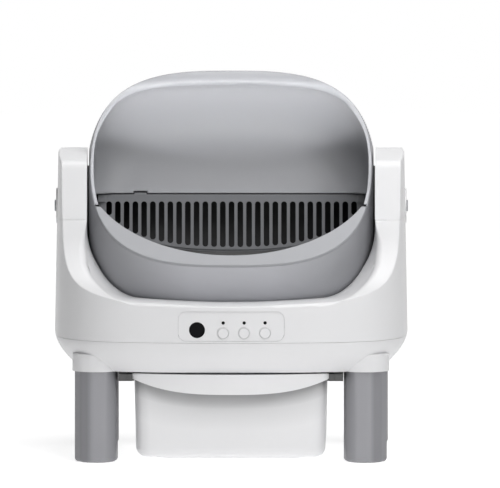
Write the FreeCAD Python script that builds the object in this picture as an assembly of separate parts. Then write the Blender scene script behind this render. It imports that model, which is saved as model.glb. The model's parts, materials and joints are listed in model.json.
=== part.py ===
import FreeCAD, Part
import math
import os
from functools import lru_cache

# Self-cleaning litter box, in millimetres.
# X runs to the viewer's right, Y to the back and Z up.
# The origin lies on the floor below the middle of the machine.
# A drum with a slanted mouth turns between two arms, over a waste drawer on rails.

os.makedirs("parts", exist_ok=True)
Vec = FreeCAD.Vector
AXIS_X = Vec(1, 0, 0)
AXIS_Y = Vec(0, 1, 0)
AXIS_Z = Vec(0, 0, 1)

# Working values: how far a cutting body runs past what it cuts, and what counts as touching
overshoot = 1.0
reach_past = 40.0
touch = 0.01
FAR = 700.0

# Drum: a body of revolution round the pivot axis, with a flat disc at each end
pivot_height = 383.4
drum_half_length = 225.5
drum_radius = 211.3
drum_power = 3.0
drum_end = 220.0
drum_points = 25
shell_wall = 3.0
liner_gap = 0.3
liner_wall = 1.9

# Mouth: a plane that cuts the drum, and the flat rim round it
mouth_tilt = 48.6
mouth_offset = 98.2
rim_thickness = 3.0
rim_groove = 0.6
rim_round = 1.2
mouth_half_width = 213.3
mouth_half_height = 166.9
mouth_power = 2.7
lip_drop = 168.6
lip_corner_drop = 68.1
outline_points = 33

# Parting between the bowl below and the hood above
parting_rise = 9.0
parting_gap = 0.4

# Sieve between the litter bowl and the chamber behind it
sieve_back = 94.0
sieve_thickness = 3.0
sieve_half_width = 204.0
sieve_drop = 85.6
sieve_power = 2.45
sieve_flange = 4.0
sieve_flange_thickness = 2.0
slot_count = 29
slot_pitch = 13.54
slot_width = 8.7
slot_top_drop = 10.8
slot_foot_border = 3.4
slot_shortest = 10.5
sieve_clearance = 3.0
seat_clearance = 0.3
bowl_ramp_angle = 66.0
bowl_ramp_round = 30.0
tab_centre = -141.0
tab_width = 19.0
tab_rise = 2.6
tab_notch_margin = 1.2

# Sliding latches that hold the sieve plate at its ends
latch_inner = 194.0
latch_length = 13.0
latch_height = 11.0
latch_depth = 4.0
latch_corner = 1.0
latch_groove = 2.0
latch_groove_end = 2.0

# Hubs, bearings and the split opening in the inner face of each arm
hub_radius = 62.0
hub_thickness = 2.6
hub_carrier_radius = 68.0
shaft_opening = 18.0
shaft_radius = 10.0
running_fit = 0.05
press_fit = 0.02
bearing_radius = 19.0
bearing_width = 12.0
bearing_inset = 2.0
bearing_groove = 0.8
bearing_groove_width = 4.0
bearing_shoulder = 3.0
block_half_width = 58.0
block_thickness = 14.0
block_top = 28.0
block_foot = 62.0
block_foot_corner = 8.0
block_top_corner = 20.0
hub_screw_circle = 48.0
hub_screw_count = 6
hub_screw_radius = 3.2
hub_screw_head = 1.4

# Drive: a gear on the left hub and a pinion on a geared motor below it
gear_module = 2.0
gear_teeth = 60
pinion_teeth = 15
gear_width = 12.0
gear_inset = 3.0
pressure_angle = 20.0
tooth_backlash = 0.35
gear_web = 5.0
gear_rim = 8.0
gear_hub = 17.0
pinion_shaft_radius = 4.0
pinion_shaft_seat = 9.0
tooth_foot = 1.25
gearbox_width = 46.0
gearbox_height = 44.0
gearbox_gap = 1.0
gearbox_neck = 4.0
motor_radius = 16.5
motor_length = 60.0
motor_boss_radius = 5.5
motor_boss_height = 3.0

# Base plan: eight tangent arcs, drafted upwards
base_half_width = 273.0
base_half_depth = 250.0
front_radius = 820.0
side_radius = 1600.0
corner_radius = 130.0
base_draft = 0.0193
base_wall = 3.0
seam_height = 190.8
underside_height = 141.8
lower_inset = 37.0
lower_power = 1.75
lower_levels = 6
seam_gap = 0.4

# Side outline of the housing: ramp, arm and rounded head
ramp_height = 246.8
ramp_angle = 26.0
ramp_round = 110.0
arm_half_depth = 136.0
arm_lean = 78.0
head_top = 468.0
head_fall = 4.0
head_round = 16.0
crown_round = 900.0
arm_seam_height = 372.8
crease_round = 2.5

# Cradle: the U-shaped opening between the arms, wider in front than beside the drum
arm_gap_half = 223.0
arm_bend_height = 372.0
arm_bend_round = 180.0
cradle_floor = 247.0
cradle_rise = 10.0
cradle_floor_round = 1500.0
cradle_deep_half = 223.4
cradle_deep_round = 104.5
cradle_deep_y = 112.0
cradle_front_half = 240.5
cradle_front_round = 78.0
cradle_front_y = 160.0
drum_clearance = 3.0

# Pivot caps and release buttons on the outside of the arms
cap_radius = 27.0
cap_proud = 1.9
cap_depth = 7.0
cap_round = 1.2
release_radius = 9.0
release_proud = 2.3
release_guide_depth = 12.0
release_gap = 0.3
release_travel = 2.5
release_stop = 0.6
release_guide_wall = 2.2

# Front panel with a sensor window, three keys and three lights
panel_left = -81.0
panel_right = 83.0
panel_top = 239.7
panel_corner = 12.0
panel_recess = 1.2
panel_wall = 2.6
panel_gap = 0.3
key_radius = 9.2
key_gap = 0.25
key_travel = 1.0
key_proud = 1.6
key_length = 9.0
key_flange = 1.4
key_edge_round = 1.0
key_height = 206.5
key_middle = 21.0
key_pitch = 32.45
lamp_radius = 2.6
lamp_height = 222.5
lamp_length = 6.0
lamp_proud = 0.2
window_centre = -52.0
window_height = 211.2
window_radius = 12.4
window_depth = 6.0
window_proud = 0.4
window_edge_round = 0.6
board_thickness = 1.6
board_margin = 8.0
board_behind = 17.0
mat_margin = 2.0
mat_corner = 3.0
mat_gap = 0.1
board_edge_gap = 2.0
board_post_radius = 3.0
board_post_inset = 5.0

# Rear service cover with the power inlet
rear_half_width = 70.0
rear_low = 200.0
rear_top = 240.0
rear_recess = 0.6
inlet_x = 44.0
inlet_height = 214.0
inlet_radius = 5.6
inlet_pin_radius = 1.1
inlet_depth = 14.0
inlet_half_width = 9.0
inlet_body_depth = 14.0
inlet_proud = 0.3
inlet_wall = 1.6
inlet_floor = 3.0
inlet_pin_set_back = 2.0
screw_radius = 3.0
screw_head = 1.4
screw_inset = 9.0

# Legs, their sockets, load cells and feet
leg_x = 208.2
leg_y = 165.0
leg_radius = 34.2
leg_sides = 10
leg_turn = -8.0
leg_edge_round = 12.0
leg_top = 157.0
leg_foot_round = 6.0
socket_radius = 37.0
socket_gap = 0.3
socket_roof = 3.0
socket_edge_round = 3.0
cell_length = 44.0
cell_width = 14.0
cell_height = 9.6
pad_radius = 25.0
pad_height = 3.2
pad_recess = 2.5
pad_edge_round = 0.8

# Waste chute and the tray below the drum
chute_half_width = 118.0
chute_front = 20.0
chute_back = 150.0
chute_wall = 3.0
chute_corner = 14.0
chute_top = 238.0
seal_width = 6.0
post_radius = 6.0
post_x = 95.0
post_y = -55.0

# Waste bin, its front lip and the rails that it slides on
bin_top = 139.0
bin_bottom = 7.6
bin_half_width = 149.4
bin_front = -190.0
bin_back = 150.0
bin_taper = 3.2
bin_corner = 22.0
bin_wall = 2.5
bin_foot_round = 16.0
runner_reach = 10.5
tongue_reach = 20.5
tongue_height = 3.0
tongue_drop = 4.7
runner_drop = 11.6
runner_top_drop = 0.8
runner_plate = 5.0
runner_plate_reach = 24.8
runner_groove = 1.4
runner_groove_depth = 1.5
lip_front = -218.0
lip_half_width = 152.0
lip_bottom = 108.0
lip_end_rise = 22.4
lip_end_at = 151.0
lip_plan_radius = 427.0
grip_half_width = 70.0
grip_wall = 3.0
grip_top = 8.0
lip_end_power = 3
lip_end_height = 4.0
rail_inner = 160.6
rail_outer = 174.0
rail_bottom = 127.4
rail_wall = 3.0
rail_front = -189.6
rail_back = 160.0
slide_gap = 0.3
bag_ring_width = 7.0
bag_ring_height = 5.0
foot_ring_height = 2.6
foot_ring_width = 8.0
foot_ring_inset = 30.0
foot_ring_corner = 20.0
bag_ring_drop = 0.4

PIVOT = Vec(0, 0, pivot_height)


def tidy(shape):
    """Merge split faces and return one clean shape."""
    return shape.removeSplitter()


def box(x0, x1, y0, y1, z0, z1):
    """A box between two corners."""
    return Part.makeBox(x1 - x0, y1 - y0, z1 - z0, Vec(x0, y0, z0))


def rod(radius, start, axis, length):
    """A cylinder from a start point along an axis."""
    return Part.makeCylinder(radius, length, start, axis)


def joined(shapes):
    """One shape from several that touch."""
    result = shapes[0]
    for shape in shapes[1:]:
        result = result.fuse(shape)
    return tidy(result)


def mirrored(shape):
    """The same shape on the other side of the middle plane."""
    return shape.mirror(Vec(0, 0, 0), AXIS_X)


def smooth_edge(points):
    """One smooth curve through the points."""
    curve = Part.BSplineCurve()
    curve.interpolate(points)
    return curve.toShape()


def rounded_wire(corners, radii, place):
    """A closed outline of straight runs whose corners are rounded."""
    count = len(corners)
    entries = []
    for index in range(count):
        here = Vec(corners[index][0], corners[index][1], 0)
        before = Vec(corners[index - 1][0], corners[index - 1][1], 0) - here
        after = Vec(corners[(index + 1) % count][0], corners[(index + 1) % count][1], 0) - here
        before.normalize()
        after.normalize()
        if radii[index] <= 0:
            entries.append((here, None, here))
            continue
        half = math.acos(max(-1, min(1, before.dot(after)))) / 2
        reach = radii[index] / math.tan(half)
        inward = before + after
        inward.normalize()
        middle = here + inward * (radii[index] / math.sin(half) - radii[index])
        entries.append((here + before * reach, middle, here + after * reach))
    edges = []
    for index in range(count):
        start, middle, end = entries[index]
        if middle is not None:
            arc = Part.Arc(place(start), place(middle), place(end))
            edges.append(arc.toShape())
        following = entries[(index + 1) % count][0]
        edges.append(Part.LineSegment(place(end), place(following)).toShape())
    return Part.Wire(edges)


def on_side(x):
    """Places outline points (y, z) in the plane at x."""
    return lambda point: Vec(x, point.x, point.y)


def on_front(y):
    """Places outline points (x, z) in the plane at y."""
    return lambda point: Vec(point.x, y, point.y)


def on_floor(z):
    """Places outline points (x, y) in the plane at z."""
    return lambda point: Vec(point.x, point.y, z)


def slab(wire, direction):
    """A solid from a flat outline, pushed along a direction."""
    return Part.Face(wire).extrude(direction)


def rounded_block(x0, x1, y0, y1, z0, z1, radius):
    """An upright block with rounded vertical corners."""
    corners = [(x0, y0), (x1, y0), (x1, y1), (x0, y1)]
    return slab(rounded_wire(corners, [radius] * 4, on_floor(z0)), Vec(0, 0, z1 - z0))


def front_block(x0, x1, z0, z1, y0, y1, radius):
    """A block along Y with rounded corners in front view."""
    corners = [(x0, z0), (x1, z0), (x1, z1), (x0, z1)]
    return slab(rounded_wire(corners, [radius] * 4, on_front(y0)), Vec(0, y1 - y0, 0))


# Drum


def drum_profile_radius(x, inset):
    """Radius of the drum at a distance x along its axis."""
    share = abs(x) / (drum_half_length - inset)
    return (drum_radius - inset) * (1 - share ** drum_power) ** (1 / drum_power)


@lru_cache(maxsize=None)
def drum_solid(inset):
    """The drum's full body, smaller all round by the inset."""
    end = drum_end - inset
    points = []
    for index in range(drum_points):
        turn = math.pi * (index / (drum_points - 1) - 0.5)
        x = end * math.sin(turn)
        points.append(Vec(x, 0, pivot_height + drum_profile_radius(x, inset)))
    low = [Vec(end, 0, pivot_height), Vec(-end, 0, pivot_height)]
    edges = [smooth_edge(points)]
    edges.append(Part.LineSegment(points[-1], low[0]).toShape())
    edges.append(Part.LineSegment(low[0], low[1]).toShape())
    edges.append(Part.LineSegment(low[1], points[0]).toShape())
    return Part.Face(Part.Wire(edges)).revolve(PIVOT, AXIS_X, 360)


def mouth_normal():
    """Direction in which the mouth faces."""
    tilt = math.radians(mouth_tilt)
    return Vec(0, -math.sin(tilt), math.cos(tilt))


def mouth_up():
    """Direction up the mouth's plane."""
    tilt = math.radians(mouth_tilt)
    return Vec(0, math.cos(tilt), math.sin(tilt))


def mouth_place(distance):
    """Places outline points (x, up) on the mouth's plane, at a distance from the pivot."""
    base = PIVOT + mouth_normal() * distance
    return lambda point: base + AXIS_X * point.x + mouth_up() * point.y


def mouth_layer(low, high):
    """Everything between two distances from the pivot along the mouth's normal."""
    corners = [(-FAR, -FAR), (FAR, -FAR), (FAR, FAR), (-FAR, FAR)]
    wire = rounded_wire(corners, [0] * 4, mouth_place(low))
    return slab(wire, mouth_normal() * (high - low))


def mouth_corner_half():
    """Half width of the hole where its upper curve meets the front lip."""
    share = (lip_corner_drop / mouth_half_height) ** mouth_power
    return mouth_half_width * (1 - share) ** (1 / mouth_power)


def mouth_hole(low, high):
    """The hole through the rim: a squarish upper curve and a shallower front lip."""
    place = mouth_place(low)
    corner_half = mouth_corner_half()
    start = -math.asin((lip_corner_drop / mouth_half_height) ** (mouth_power / 2))
    upper = []
    for index in range(outline_points):
        turn = start + (math.pi - 2 * start) * index / (outline_points - 1)
        across = abs(math.cos(turn)) ** (2 / mouth_power) * mouth_half_width
        rise = abs(math.sin(turn)) ** (2 / mouth_power) * mouth_half_height
        point = Vec(math.copysign(across, math.cos(turn)), math.copysign(rise, math.sin(turn)), 0)
        upper.append(place(point))
    lip_start = math.asin(lip_corner_drop / lip_drop)
    lip_half = corner_half / math.cos(lip_start)
    lower = []
    for index in range(outline_points):
        turn = lip_start + (math.pi - 2 * lip_start) * index / (outline_points - 1)
        lower.append(place(Vec(-lip_half * math.cos(turn), -lip_drop * math.sin(turn), 0)))
    lower[0] = upper[-1]
    lower[-1] = upper[0]
    wire = Part.Wire([smooth_edge(upper), smooth_edge(lower)])
    return slab(wire, mouth_normal() * (high - low))


def above_parting(gap):
    """Everything above the parting plane, less half the gap."""
    level = pivot_height + parting_rise + gap / 2
    return box(-FAR, FAR, -FAR, FAR, level, level + FAR)


def below_parting(gap):
    """Everything below the parting plane, less half the gap."""
    level = pivot_height + parting_rise - gap / 2
    return box(-FAR, FAR, -FAR, FAR, level - FAR, level)


@lru_cache(maxsize=None)
def drum_wall():
    """The outer wall of the drum, open at the mouth."""
    wall = drum_solid(0).cut(drum_solid(shell_wall))
    return wall.cut(mouth_layer(mouth_offset - rim_thickness - rim_groove, FAR))


def hub_carrier(grow):
    """The round end of the bowl that carries the hub and reaches above the parting."""
    radius = hub_carrier_radius + grow
    return rod(radius, Vec(-FAR, 0, pivot_height), AXIS_X, 2 * FAR)


def bowl_shell():
    """Lower outer shell, with the two round ends that carry the hubs."""
    lower = drum_wall().common(below_parting(parting_gap))
    ends = drum_wall().common(hub_carrier(0))
    hole = rod(shaft_radius + release_gap, Vec(-FAR, 0, pivot_height), AXIS_X, 2 * FAR)
    return joined([lower, ends]).cut(hole)


def hood_shell():
    """Upper outer shell, notched round the bowl's ends so that it lifts off."""
    notch = hub_carrier(parting_gap)
    drop = box(-FAR, FAR, -hub_carrier_radius - parting_gap, hub_carrier_radius + parting_gap,
               0, pivot_height)
    return drum_wall().common(above_parting(parting_gap)).cut(notch).cut(drop)


@lru_cache(maxsize=None)
def rim_ring():
    """The flat rim round the whole mouth."""
    ring = drum_solid(0).common(mouth_layer(mouth_offset - rim_thickness, mouth_offset))
    outer = [edge for edge in ring.Edges if on_mouth_plane(edge)]
    ring = ring.makeFillet(rim_round, outer)
    return ring.cut(mouth_hole(mouth_offset - rim_thickness - overshoot, mouth_offset + overshoot))


def on_mouth_plane(edge):
    """True for an edge that lies in the mouth's outer plane."""
    distances = [(vertex.Point - PIVOT).dot(mouth_normal()) for vertex in edge.Vertexes]
    middle = edge.valueAt((edge.FirstParameter + edge.LastParameter) / 2)
    distances.append((middle - PIVOT).dot(mouth_normal()))
    return min(distances) > mouth_offset - touch


def hood_rim():
    """Upper part of the mouth's rim."""
    return rim_ring().common(above_parting(parting_gap))


def bowl_lip():
    """Front lip, over which the animal steps."""
    return rim_ring().common(below_parting(parting_gap))


def scoop_circle():
    """Rise of centre and radius of the scoop, through the sieve's top and the drum's top."""
    roof = drum_radius - shell_wall - liner_gap
    corner_y = sieve_back
    corner_z = parting_rise
    rise = (roof ** 2 - corner_y ** 2 - corner_z ** 2) / (2 * (roof - corner_z))
    return rise, roof - rise


@lru_cache(maxsize=None)
def hood_space(inset):
    """The hood's inner space: drum form in front, a hollow scoop at the back."""
    rise, radius = scoop_circle()
    radius = radius - inset
    centre = Vec(0, pivot_height + rise, 0)
    place = on_side(-FAR)
    level = parting_rise - rise
    foot_y = math.sqrt(radius ** 2 - level ** 2)
    foot = Vec(foot_y, pivot_height + parting_rise, 0)
    turn = math.atan2(level, foot_y)
    middle_turn = (turn + math.pi / 2) / 2
    middle = centre + Vec(math.cos(middle_turn), math.sin(middle_turn), 0) * radius
    top = centre + Vec(0, radius, 0)
    front_top = Vec(-FAR, top.y, 0)
    front_low = Vec(-FAR, foot.y - overshoot, 0)
    back_low = Vec(foot.x, foot.y - overshoot, 0)
    edges = [Part.Arc(place(foot), place(middle), place(top)).toShape()]
    run = [top, front_top, front_low, back_low, foot]
    for start, end in zip(run, run[1:]):
        edges.append(Part.LineSegment(place(start), place(end)).toShape())
    prism = slab(Part.Wire(edges), Vec(2 * FAR, 0, 0))
    return drum_solid(shell_wall + liner_gap + inset).common(prism)


def tab_notch():
    """Notch in the hood's lower edge, over the sieve's lifting tab."""
    half = tab_width / 2 + tab_notch_margin
    level = pivot_height + parting_rise
    top = level + tab_rise + tab_notch_margin
    return box(tab_centre - half, tab_centre + half, 0, FAR, level - overshoot, top)


def hood_liner():
    """Inner skin of the hood, down which the clumps slide out."""
    skin = hood_space(0).cut(hood_space(liner_wall))
    skin = skin.cut(mouth_layer(mouth_offset - rim_thickness - rim_groove, FAR))
    skin = skin.common(above_parting(parting_gap))
    return skin.cut(tab_notch())


@lru_cache(maxsize=None)
def bowl_space(inset):
    """The bowl's inner space: drum form in front, an upright back and a ramp below it."""
    back = sieve_back - inset
    level = pivot_height + parting_rise
    ramp_top = level - sieve_drop - sieve_clearance
    ramp_run = drum_radius / math.tan(math.radians(bowl_ramp_angle))
    corners = [(-FAR, level + overshoot), (back, level + overshoot), (back, ramp_top)]
    corners = corners + [(back - ramp_run, ramp_top - drum_radius), (-FAR, ramp_top - drum_radius)]
    radii = [0, 0, bowl_ramp_round - inset, 0, 0]
    prism = slab(rounded_wire(corners, radii, on_side(-FAR)), Vec(2 * FAR, 0, 0))
    return drum_solid(shell_wall + liner_gap + inset).common(prism)


def sieve_outline(grow, y):
    """The sieve's outline: straight top, rounded foot."""
    level = pivot_height + parting_rise
    half = sieve_half_width + grow
    drop = sieve_drop + grow
    points = []
    for index in range(outline_points):
        turn = math.pi * index / (outline_points - 1)
        across = -math.copysign(abs(math.cos(turn)) ** (2 / sieve_power) * half, math.cos(turn))
        fall = math.sin(turn) ** (2 / sieve_power) * drop if 0 < index < outline_points - 1 else 0
        points.append(Vec(across, y, level - fall))
    closing = Part.LineSegment(points[-1], points[0]).toShape()
    return Part.Wire([smooth_edge(points), closing])


def bowl_liner():
    """Inner skin of the bowl, with the opening for the sieve in its back."""
    skin = bowl_space(0).cut(bowl_space(liner_wall))
    skin = skin.cut(mouth_layer(mouth_offset - rim_thickness - rim_groove, FAR))
    skin = skin.common(below_parting(parting_gap))
    start = sieve_back - liner_wall - overshoot
    through = Vec(0, liner_wall + 2 * overshoot, 0)
    opening = slab(sieve_outline(sieve_clearance, start), through)
    level = pivot_height + parting_rise
    mouth = box(-sieve_half_width - sieve_clearance, sieve_half_width + sieve_clearance,
                start, sieve_back + overshoot, level - overshoot, level + overshoot)
    return skin.cut(opening).cut(mouth)


def slot_foot(x):
    """Lowest point of a slot at x, inside the sieve's rounded foot."""
    share = min(1, (abs(x) + slot_width / 2) / sieve_half_width)
    return sieve_drop * (1 - share ** sieve_power) ** (1 / sieve_power) - slot_foot_border


def sieve_slots():
    """Round-ended slots through the sieve, shorter towards its ends."""
    level = pivot_height + parting_rise
    start = sieve_back - liner_wall - overshoot
    slots = []
    for index in range(slot_count):
        x = (index - (slot_count - 1) / 2) * slot_pitch
        foot = max(slot_foot(x), slot_top_drop + slot_shortest)
        half = slot_width / 2
        slots.append(front_block(x - half, x + half, level - foot, level - slot_top_drop,
                                 start, sieve_back + 2 * sieve_thickness, half - touch))
    return Part.makeCompound(slots)


def sieve_plate():
    """Slotted plate, seated behind the liner's back by a flange at its edge."""
    front = sieve_back - liner_wall
    plate = slab(sieve_outline(0, front), Vec(0, sieve_thickness, 0))
    seat = sieve_back + seat_clearance
    flange = slab(sieve_outline(sieve_clearance + sieve_flange, seat),
                  Vec(0, sieve_flange_thickness, 0))
    inner = slab(sieve_outline(-sieve_flange, seat - overshoot),
                 Vec(0, sieve_flange_thickness + 2 * overshoot, 0))
    flange = flange.cut(inner).common(drum_solid(shell_wall + liner_gap + liner_wall))
    level = pivot_height + parting_rise
    tab = box(tab_centre - tab_width / 2, tab_centre + tab_width / 2,
              sieve_back, sieve_back + sieve_flange_thickness, level - sieve_flange, level + tab_rise)
    plate = joined([plate, flange, tab])
    return plate.cut(sieve_slots())


def latch(side):
    """Sliding latch in front of one end of the sieve."""
    front = sieve_back - liner_wall - seat_clearance - latch_depth
    level = pivot_height + parting_rise - seat_clearance
    body = rounded_block(latch_inner, latch_inner + latch_length, front, front + latch_depth,
                         level - latch_height, level, latch_corner)
    middle = latch_inner + latch_length / 2
    groove = box(middle - latch_groove / 2, middle + latch_groove / 2,
                 front - overshoot, front + latch_corner,
                 level - latch_height + latch_groove_end, level - latch_groove_end)
    body = body.cut(groove)
    return body if side > 0 else mirrored(body)


# Hubs, bearings and drive


def hub(side):
    """Hub disc on the drum's end, with its stub shaft."""
    shaft_end = gear_start() + gear_width + gear_inset
    disc = rod(hub_radius, Vec(drum_end, 0, pivot_height), AXIS_X, hub_thickness)
    shaft = rod(shaft_radius, Vec(drum_end - shell_wall, 0, pivot_height), AXIS_X,
                shaft_end - drum_end + shell_wall)
    body = joined([disc, shaft]).cut(hub_screws_right(hub_screw_radius))
    return body if side > 0 else mirrored(body)


def hub_screws_right(radius):
    """Screw heads let into the right hub disc."""
    heads = []
    for index in range(hub_screw_count):
        turn = 2 * math.pi * index / hub_screw_count
        start = Vec(drum_end + hub_thickness - hub_screw_head, hub_screw_circle * math.cos(turn),
                    pivot_height + hub_screw_circle * math.sin(turn))
        heads.append(rod(radius, start, AXIS_X, hub_screw_head))
    return Part.makeCompound(heads)


def hub_screws():
    """All screws of both hubs."""
    right = hub_screws_right(hub_screw_radius)
    return Part.makeCompound([right, mirrored(right)])


def block_start():
    """Distance of the bearing block from the middle: it is seated on the arm's inner wall."""
    return arm_gap_half + base_wall + seat_clearance


def bearing(side):
    """Ring bearing in its block."""
    start = Vec(block_start() + bearing_inset, 0, pivot_height)
    ring = rod(bearing_radius, start, AXIS_X, bearing_width)
    hole_start = start - AXIS_X * overshoot
    ring = ring.cut(rod(shaft_radius + running_fit, hole_start, AXIS_X, bearing_width + 2 * overshoot))
    middle = (bearing_radius + shaft_radius) / 2
    for x in (start.x, start.x + bearing_width - bearing_groove):
        face = Vec(x, 0, pivot_height)
        groove = rod(middle + bearing_groove_width / 2, face, AXIS_X, bearing_groove)
        groove = groove.cut(rod(middle - bearing_groove_width / 2, face, AXIS_X, bearing_groove))
        ring = ring.cut(groove)
    return ring if side > 0 else mirrored(ring)


def bearing_block(side):
    """Block that holds one bearing against the inner wall of the arm."""
    start = block_start()
    low = pivot_height - block_foot
    high = pivot_height + block_top
    half = block_half_width
    corners = [(-half, low), (half, low), (half, high), (-half, high)]
    radii = [block_foot_corner, block_foot_corner, block_top_corner, block_top_corner]
    body = slab(rounded_wire(corners, radii, on_side(start)), Vec(block_thickness, 0, 0))
    seat = rod(bearing_radius + press_fit, Vec(start + bearing_inset, 0, pivot_height), AXIS_X,
               block_thickness)
    through = rod(bearing_radius - bearing_shoulder, Vec(start - overshoot, 0, pivot_height), AXIS_X,
                  block_thickness + 2 * overshoot)
    body = body.cut(seat).cut(through)
    return body if side > 0 else mirrored(body)


def gear_start():
    """Distance of the gear from the middle."""
    return block_start() + block_thickness + gear_inset


def tooth_edges(teeth, index, turn_offset):
    """One tooth: two involute flanks and its tip, as points (flank, flank)."""
    pitch = gear_module * teeth / 2
    base = pitch * math.cos(math.radians(pressure_angle))
    tip = pitch + gear_module
    root = pitch - tooth_foot * gear_module
    flank_start = max(base, root)
    spread = math.tan(math.radians(pressure_angle)) - math.radians(pressure_angle)
    half = math.pi / (2 * teeth) - tooth_backlash / (2 * pitch)
    centre = turn_offset + 2 * math.pi * index / teeth
    flank = []
    for step in range(4):
        radius = flank_start + (tip - flank_start) * step / 3
        roll = math.sqrt(max(0, (radius / base) ** 2 - 1))
        turn = half + spread - (roll - math.atan(roll))
        flank.append((radius, turn))
    return root, centre, flank


def gear_body(teeth, turn_offset, centre_height, start, width):
    """A spur gear with involute teeth, its axis along X."""
    def spot(radius, turn):
        return Vec(start, radius * math.cos(turn), centre_height + radius * math.sin(turn))
    edges = []
    last = None
    first = None
    for index in range(teeth):
        root, centre, flank = tooth_edges(teeth, index, turn_offset)
        rise = [spot(radius, centre - turn) for radius, turn in flank]
        fall = [spot(radius, centre + turn) for radius, turn in reversed(flank)]
        foot = spot(root, centre - flank[0][1])
        heel = spot(root, centre + flank[0][1])
        if last is None:
            first = foot
        else:
            edges.append(Part.LineSegment(last, foot).toShape())
        if foot.distanceToPoint(rise[0]) > 0.001:
            edges.append(Part.LineSegment(foot, rise[0]).toShape())
        edges.append(smooth_edge(rise))
        edges.append(Part.LineSegment(rise[-1], fall[0]).toShape())
        edges.append(smooth_edge(fall))
        if heel.distanceToPoint(fall[-1]) > 0.001:
            edges.append(Part.LineSegment(fall[-1], heel).toShape())
        last = heel
    edges.append(Part.LineSegment(last, first).toShape())
    return slab(Part.Wire(edges), Vec(width, 0, 0))


def drive_gear():
    """Large gear on the left hub's shaft."""
    start = gear_start()
    body = gear_body(gear_teeth, -math.pi / 2, pivot_height, start, gear_width)
    rim = gear_module * gear_teeth / 2 - gear_rim
    dish_depth = (gear_width - gear_web) / 2
    depth = dish_depth + overshoot
    for x in (start - overshoot, start + gear_web + dish_depth):
        face = Vec(x, 0, pivot_height)
        dish = rod(rim, face, AXIS_X, depth).cut(rod(gear_hub, face, AXIS_X, depth))
        body = body.cut(dish)
    bore = rod(shaft_radius + press_fit, Vec(start - overshoot, 0, pivot_height), AXIS_X,
               gear_width + 2 * overshoot)
    return mirrored(body.cut(bore))


def pinion_height():
    """Height of the pinion's axis, one centre distance below the pivot."""
    return pivot_height - gear_module * (gear_teeth + pinion_teeth) / 2


def drive_pinion():
    """Small gear on the gearbox's output shaft."""
    height = pinion_height()
    turn = math.pi / 2 + math.pi / pinion_teeth
    body = gear_body(pinion_teeth, turn, height, gear_start(), gear_width)
    shaft_start = Vec(gear_start() - pinion_shaft_seat, 0, height)
    shaft = rod(pinion_shaft_radius, shaft_start, AXIS_X, pinion_shaft_seat + gear_width)
    return mirrored(joined([body, shaft]))


def motor_centre():
    """Distance of the motor's axis from the middle: the can stands against the arm's inner wall."""
    return block_start() + motor_radius


def gearbox():
    """Right-angle gearbox, between the arm's inner wall and the gears."""
    height = pinion_height()
    front = block_start()
    back = gear_start() - gearbox_gap
    half = gearbox_width / 2
    top = pivot_height - block_foot
    low = top - gearbox_height
    body = box(front, back, -half, half, low, top)
    bore = rod(pinion_shaft_radius + running_fit, Vec(gear_start() - pinion_shaft_seat, 0, height),
               AXIS_X, gearbox_gap + pinion_shaft_seat)
    neck = rod(motor_radius, Vec(motor_centre(), 0, low), AXIS_Z * -1, gearbox_neck)
    return mirrored(joined([body, neck]).cut(bore))


def drive_motor():
    """Motor can below the gearbox."""
    top = pivot_height - block_foot - gearbox_height - gearbox_neck
    can = rod(motor_radius, Vec(motor_centre(), 0, top), AXIS_Z * -1, motor_length)
    boss = rod(motor_boss_radius, Vec(motor_centre(), 0, top - motor_length), AXIS_Z * -1,
               motor_boss_height)
    return mirrored(joined([can, boss]))


# Base


def plan_turns():
    """Centres of the arcs in one quarter of the plan, and the directions where they meet."""
    front_centre = Vec(0, base_half_depth - front_radius, 0)
    side_centre = Vec(base_half_width - side_radius, 0, 0)
    reach_front = front_radius - corner_radius
    reach_side = side_radius - corner_radius
    between = side_centre - front_centre
    span = between.Length
    along = (reach_front ** 2 - reach_side ** 2 + span ** 2) / (2 * span)
    offset = math.sqrt(reach_front ** 2 - along ** 2)
    between.normalize()
    sideways = Vec(-between.y, between.x, 0)
    corner = front_centre + between * along + sideways * offset
    if corner.x < 0 or corner.y < 0:
        corner = front_centre + between * along - sideways * offset
    return front_centre, side_centre, corner


def plan_wire(inset, z):
    """Outline of the base in plan, smaller by the inset, at a height."""
    front_centre, side_centre, corner = plan_turns()
    to_front = (corner - front_centre).normalize()
    to_side = (corner - side_centre).normalize()
    diagonal = (to_front + to_side).normalize()
    small = corner_radius - inset
    front_end = corner + to_front * small
    middle = corner + diagonal * small
    side_end = corner + to_side * small
    front_mid = Vec(0, base_half_depth - inset, 0)
    side_mid = Vec(base_half_width - inset, 0, 0)

    def flip(point, x_sign, y_sign):
        return Vec(point.x * x_sign, point.y * y_sign, z)

    arcs = []
    arcs.append((flip(side_end, 1, -1), flip(side_mid, 1, 1), flip(side_end, 1, 1)))
    arcs.append((flip(side_end, 1, 1), flip(middle, 1, 1), flip(front_end, 1, 1)))
    arcs.append((flip(front_end, 1, 1), flip(front_mid, 1, 1), flip(front_end, -1, 1)))
    arcs.append((flip(front_end, -1, 1), flip(middle, -1, 1), flip(side_end, -1, 1)))
    arcs.append((flip(side_end, -1, 1), flip(side_mid, -1, 1), flip(side_end, -1, -1)))
    arcs.append((flip(side_end, -1, -1), flip(middle, -1, -1), flip(front_end, -1, -1)))
    arcs.append((flip(front_end, -1, -1), flip(front_mid, 1, -1), flip(front_end, 1, -1)))
    arcs.append((flip(front_end, 1, -1), flip(middle, 1, -1), flip(side_end, 1, -1)))
    return Part.Wire([Part.Arc(*points).toShape() for points in arcs])


@lru_cache(maxsize=None)
def plan_tower(inset):
    """The drafted plan from below the seam to above the arms."""
    low = seam_height - reach_past
    high = head_top + reach_past
    wires = [plan_wire(inset + base_draft * (z - seam_height), z) for z in (low, high)]
    return Part.makeLoft(wires, True, True)


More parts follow.
